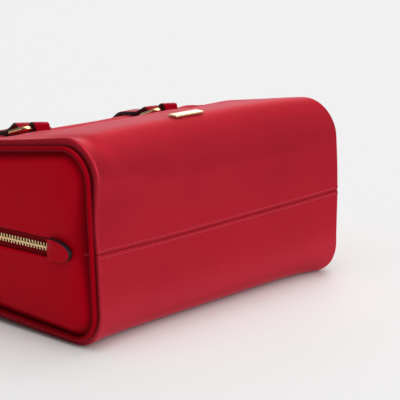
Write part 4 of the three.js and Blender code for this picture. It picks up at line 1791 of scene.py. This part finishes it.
class SATCHEL_OT_stage(bpy.types.Operator):
    """Pale floor, soft studio lights and the camera"""

    bl_idname = "satchel.stage"
    bl_label = "Stage"

    FLOOR_SIZE = 6.0
    AIM = 75 * MM  # height of the point that the camera turns round

    def execute(self, context):
        stage = context.scene.satchel_stage
        form = Form(context.scene.satchel_sizes)
        self.floor(stage)
        self.light(context)
        self.camera(context, stage, form)
        context.scene.view_settings.view_transform = "Standard"
        return {"FINISHED"}

    def floor(self, stage):
        """A pale matt floor at the height of the table."""
        bm = bmesh.new()
        bmesh.ops.create_grid(bm, x_segments=1, y_segments=1, size=self.FLOOR_SIZE)
        mesh = make_mesh("floor", bm)
        mesh.materials.append(paper_finish("floor paper", stage.floor))
        floor = make_object("floor", mesh)
        floor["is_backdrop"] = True

    @staticmethod
    def light(context):
        """A dark room with soft lights round the bag."""
        world = bpy.data.worlds.new("studio")
        world.use_nodes = True
        context.scene.world = world
        sky = Wire(world.node_tree)
        direction = sky.node("ShaderNodeTexCoord", {}, {}, "Generated")
        strength = AMBIENT
        for row in LIGHTS:
            sockets = {0: direction, 1: row["way"]}
            towards = sky.node("ShaderNodeVectorMath", {"operation": "DOT_PRODUCT"}, sockets, "Value")
            strength = strength + sky.math("MAXIMUM", towards, 0.0) ** row["power"] * row["strength"]
        background = world.node_tree.nodes["Background"]
        background.inputs["Color"].default_value = (1.0, 1.0, 1.0, 1.0)
        world.node_tree.links.new(strength.socket, background.inputs["Strength"])

    def camera(self, context, stage, form):
        """The camera, turned to the left of the base and a little above it."""
        turn = stage.azimuth
        rise = stage.elevation
        right = Vector((math.cos(turn), -math.sin(turn), 0))
        back = Vector((-math.sin(turn) * math.cos(rise), -math.cos(turn) * math.cos(rise), math.sin(rise)))
        up = back.cross(right)
        target = Vector((0, 0, self.AIM)) + form.shift
        data = bpy.data.cameras.new("camera")
        data.lens = stage.lens
        data.sensor_width = 36.0
        data.clip_start = 0.01
        camera = make_object("camera", data)
        place = target + back * stage.distance + right * stage.aside + up * stage.above
        camera.matrix_world = axes_matrix(place, right, up, back)
        context.scene.camera = camera


class SATCHEL_PT_build(bpy.types.Panel):
    """Buttons that build the satchel, piece by piece"""

    bl_idname = "SATCHEL_PT_build"
    bl_label = "Leather Satchel"
    bl_space_type = "VIEW_3D"
    bl_region_type = "UI"
    bl_category = "Satchel"

    def draw(self, context):
        for name in GROUPS:
            group = getattr(context.scene, name)
            box = self.layout.box()
            for key in group.__annotations__:
                box.prop(group, key)
        for operator in OPERATORS:
            self.layout.operator(operator.bl_idname)


GROUPS = {
    "satchel_sizes": SatchelSizes,
    "satchel_colours": SatchelColours,
    "satchel_stage": SatchelStage,
}
OPERATORS = (
    SATCHEL_OT_leather_panels,
    SATCHEL_OT_end_panels,
    SATCHEL_OT_piping,
    SATCHEL_OT_topstitching,
    SATCHEL_OT_zip_tapes,
    SATCHEL_OT_zip_teeth,
    SATCHEL_OT_zip_end_tabs,
    SATCHEL_OT_zip_slider,
    SATCHEL_OT_handle_rings,
    SATCHEL_OT_handle_tabs,
    SATCHEL_OT_handles,
    SATCHEL_OT_badge,
    SATCHEL_OT_stage,
)


def register():
    """Registers the property groups, the operators and the panel."""
    for key, group in GROUPS.items():
        bpy.utils.register_class(group)
        setattr(bpy.types.Scene, key, bpy.props.PointerProperty(type=group))
    for operator in OPERATORS:
        bpy.utils.register_class(operator)
    bpy.utils.register_class(SATCHEL_PT_build)


def unregister():
    """Takes away what register added."""
    bpy.utils.unregister_class(SATCHEL_PT_build)
    for operator in reversed(OPERATORS):
        bpy.utils.unregister_class(operator)
    for key, group in GROUPS.items():
        delattr(bpy.types.Scene, key)
        bpy.utils.unregister_class(group)


def main():
    """Builds the satchel and its stage."""
    register()
    bpy.ops.satchel.leather_panels()
    bpy.ops.satchel.end_panels()
    bpy.ops.satchel.piping()
    bpy.ops.satchel.topstitching()
    bpy.ops.satchel.zip_tapes()
    bpy.ops.satchel.zip_teeth()
    bpy.ops.satchel.zip_end_tabs()
    bpy.ops.satchel.zip_slider()
    bpy.ops.satchel.handle_rings()
    bpy.ops.satchel.handle_tabs()
    bpy.ops.satchel.handles()
    bpy.ops.satchel.badge()
    bpy.ops.satchel.stage()
    boxes = {"cad": CAD_BOX, "visual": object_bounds()}
    {key: [list(corner) for corner in box] for key, box in boxes.items()}


if __name__ == "__main__":
    main()
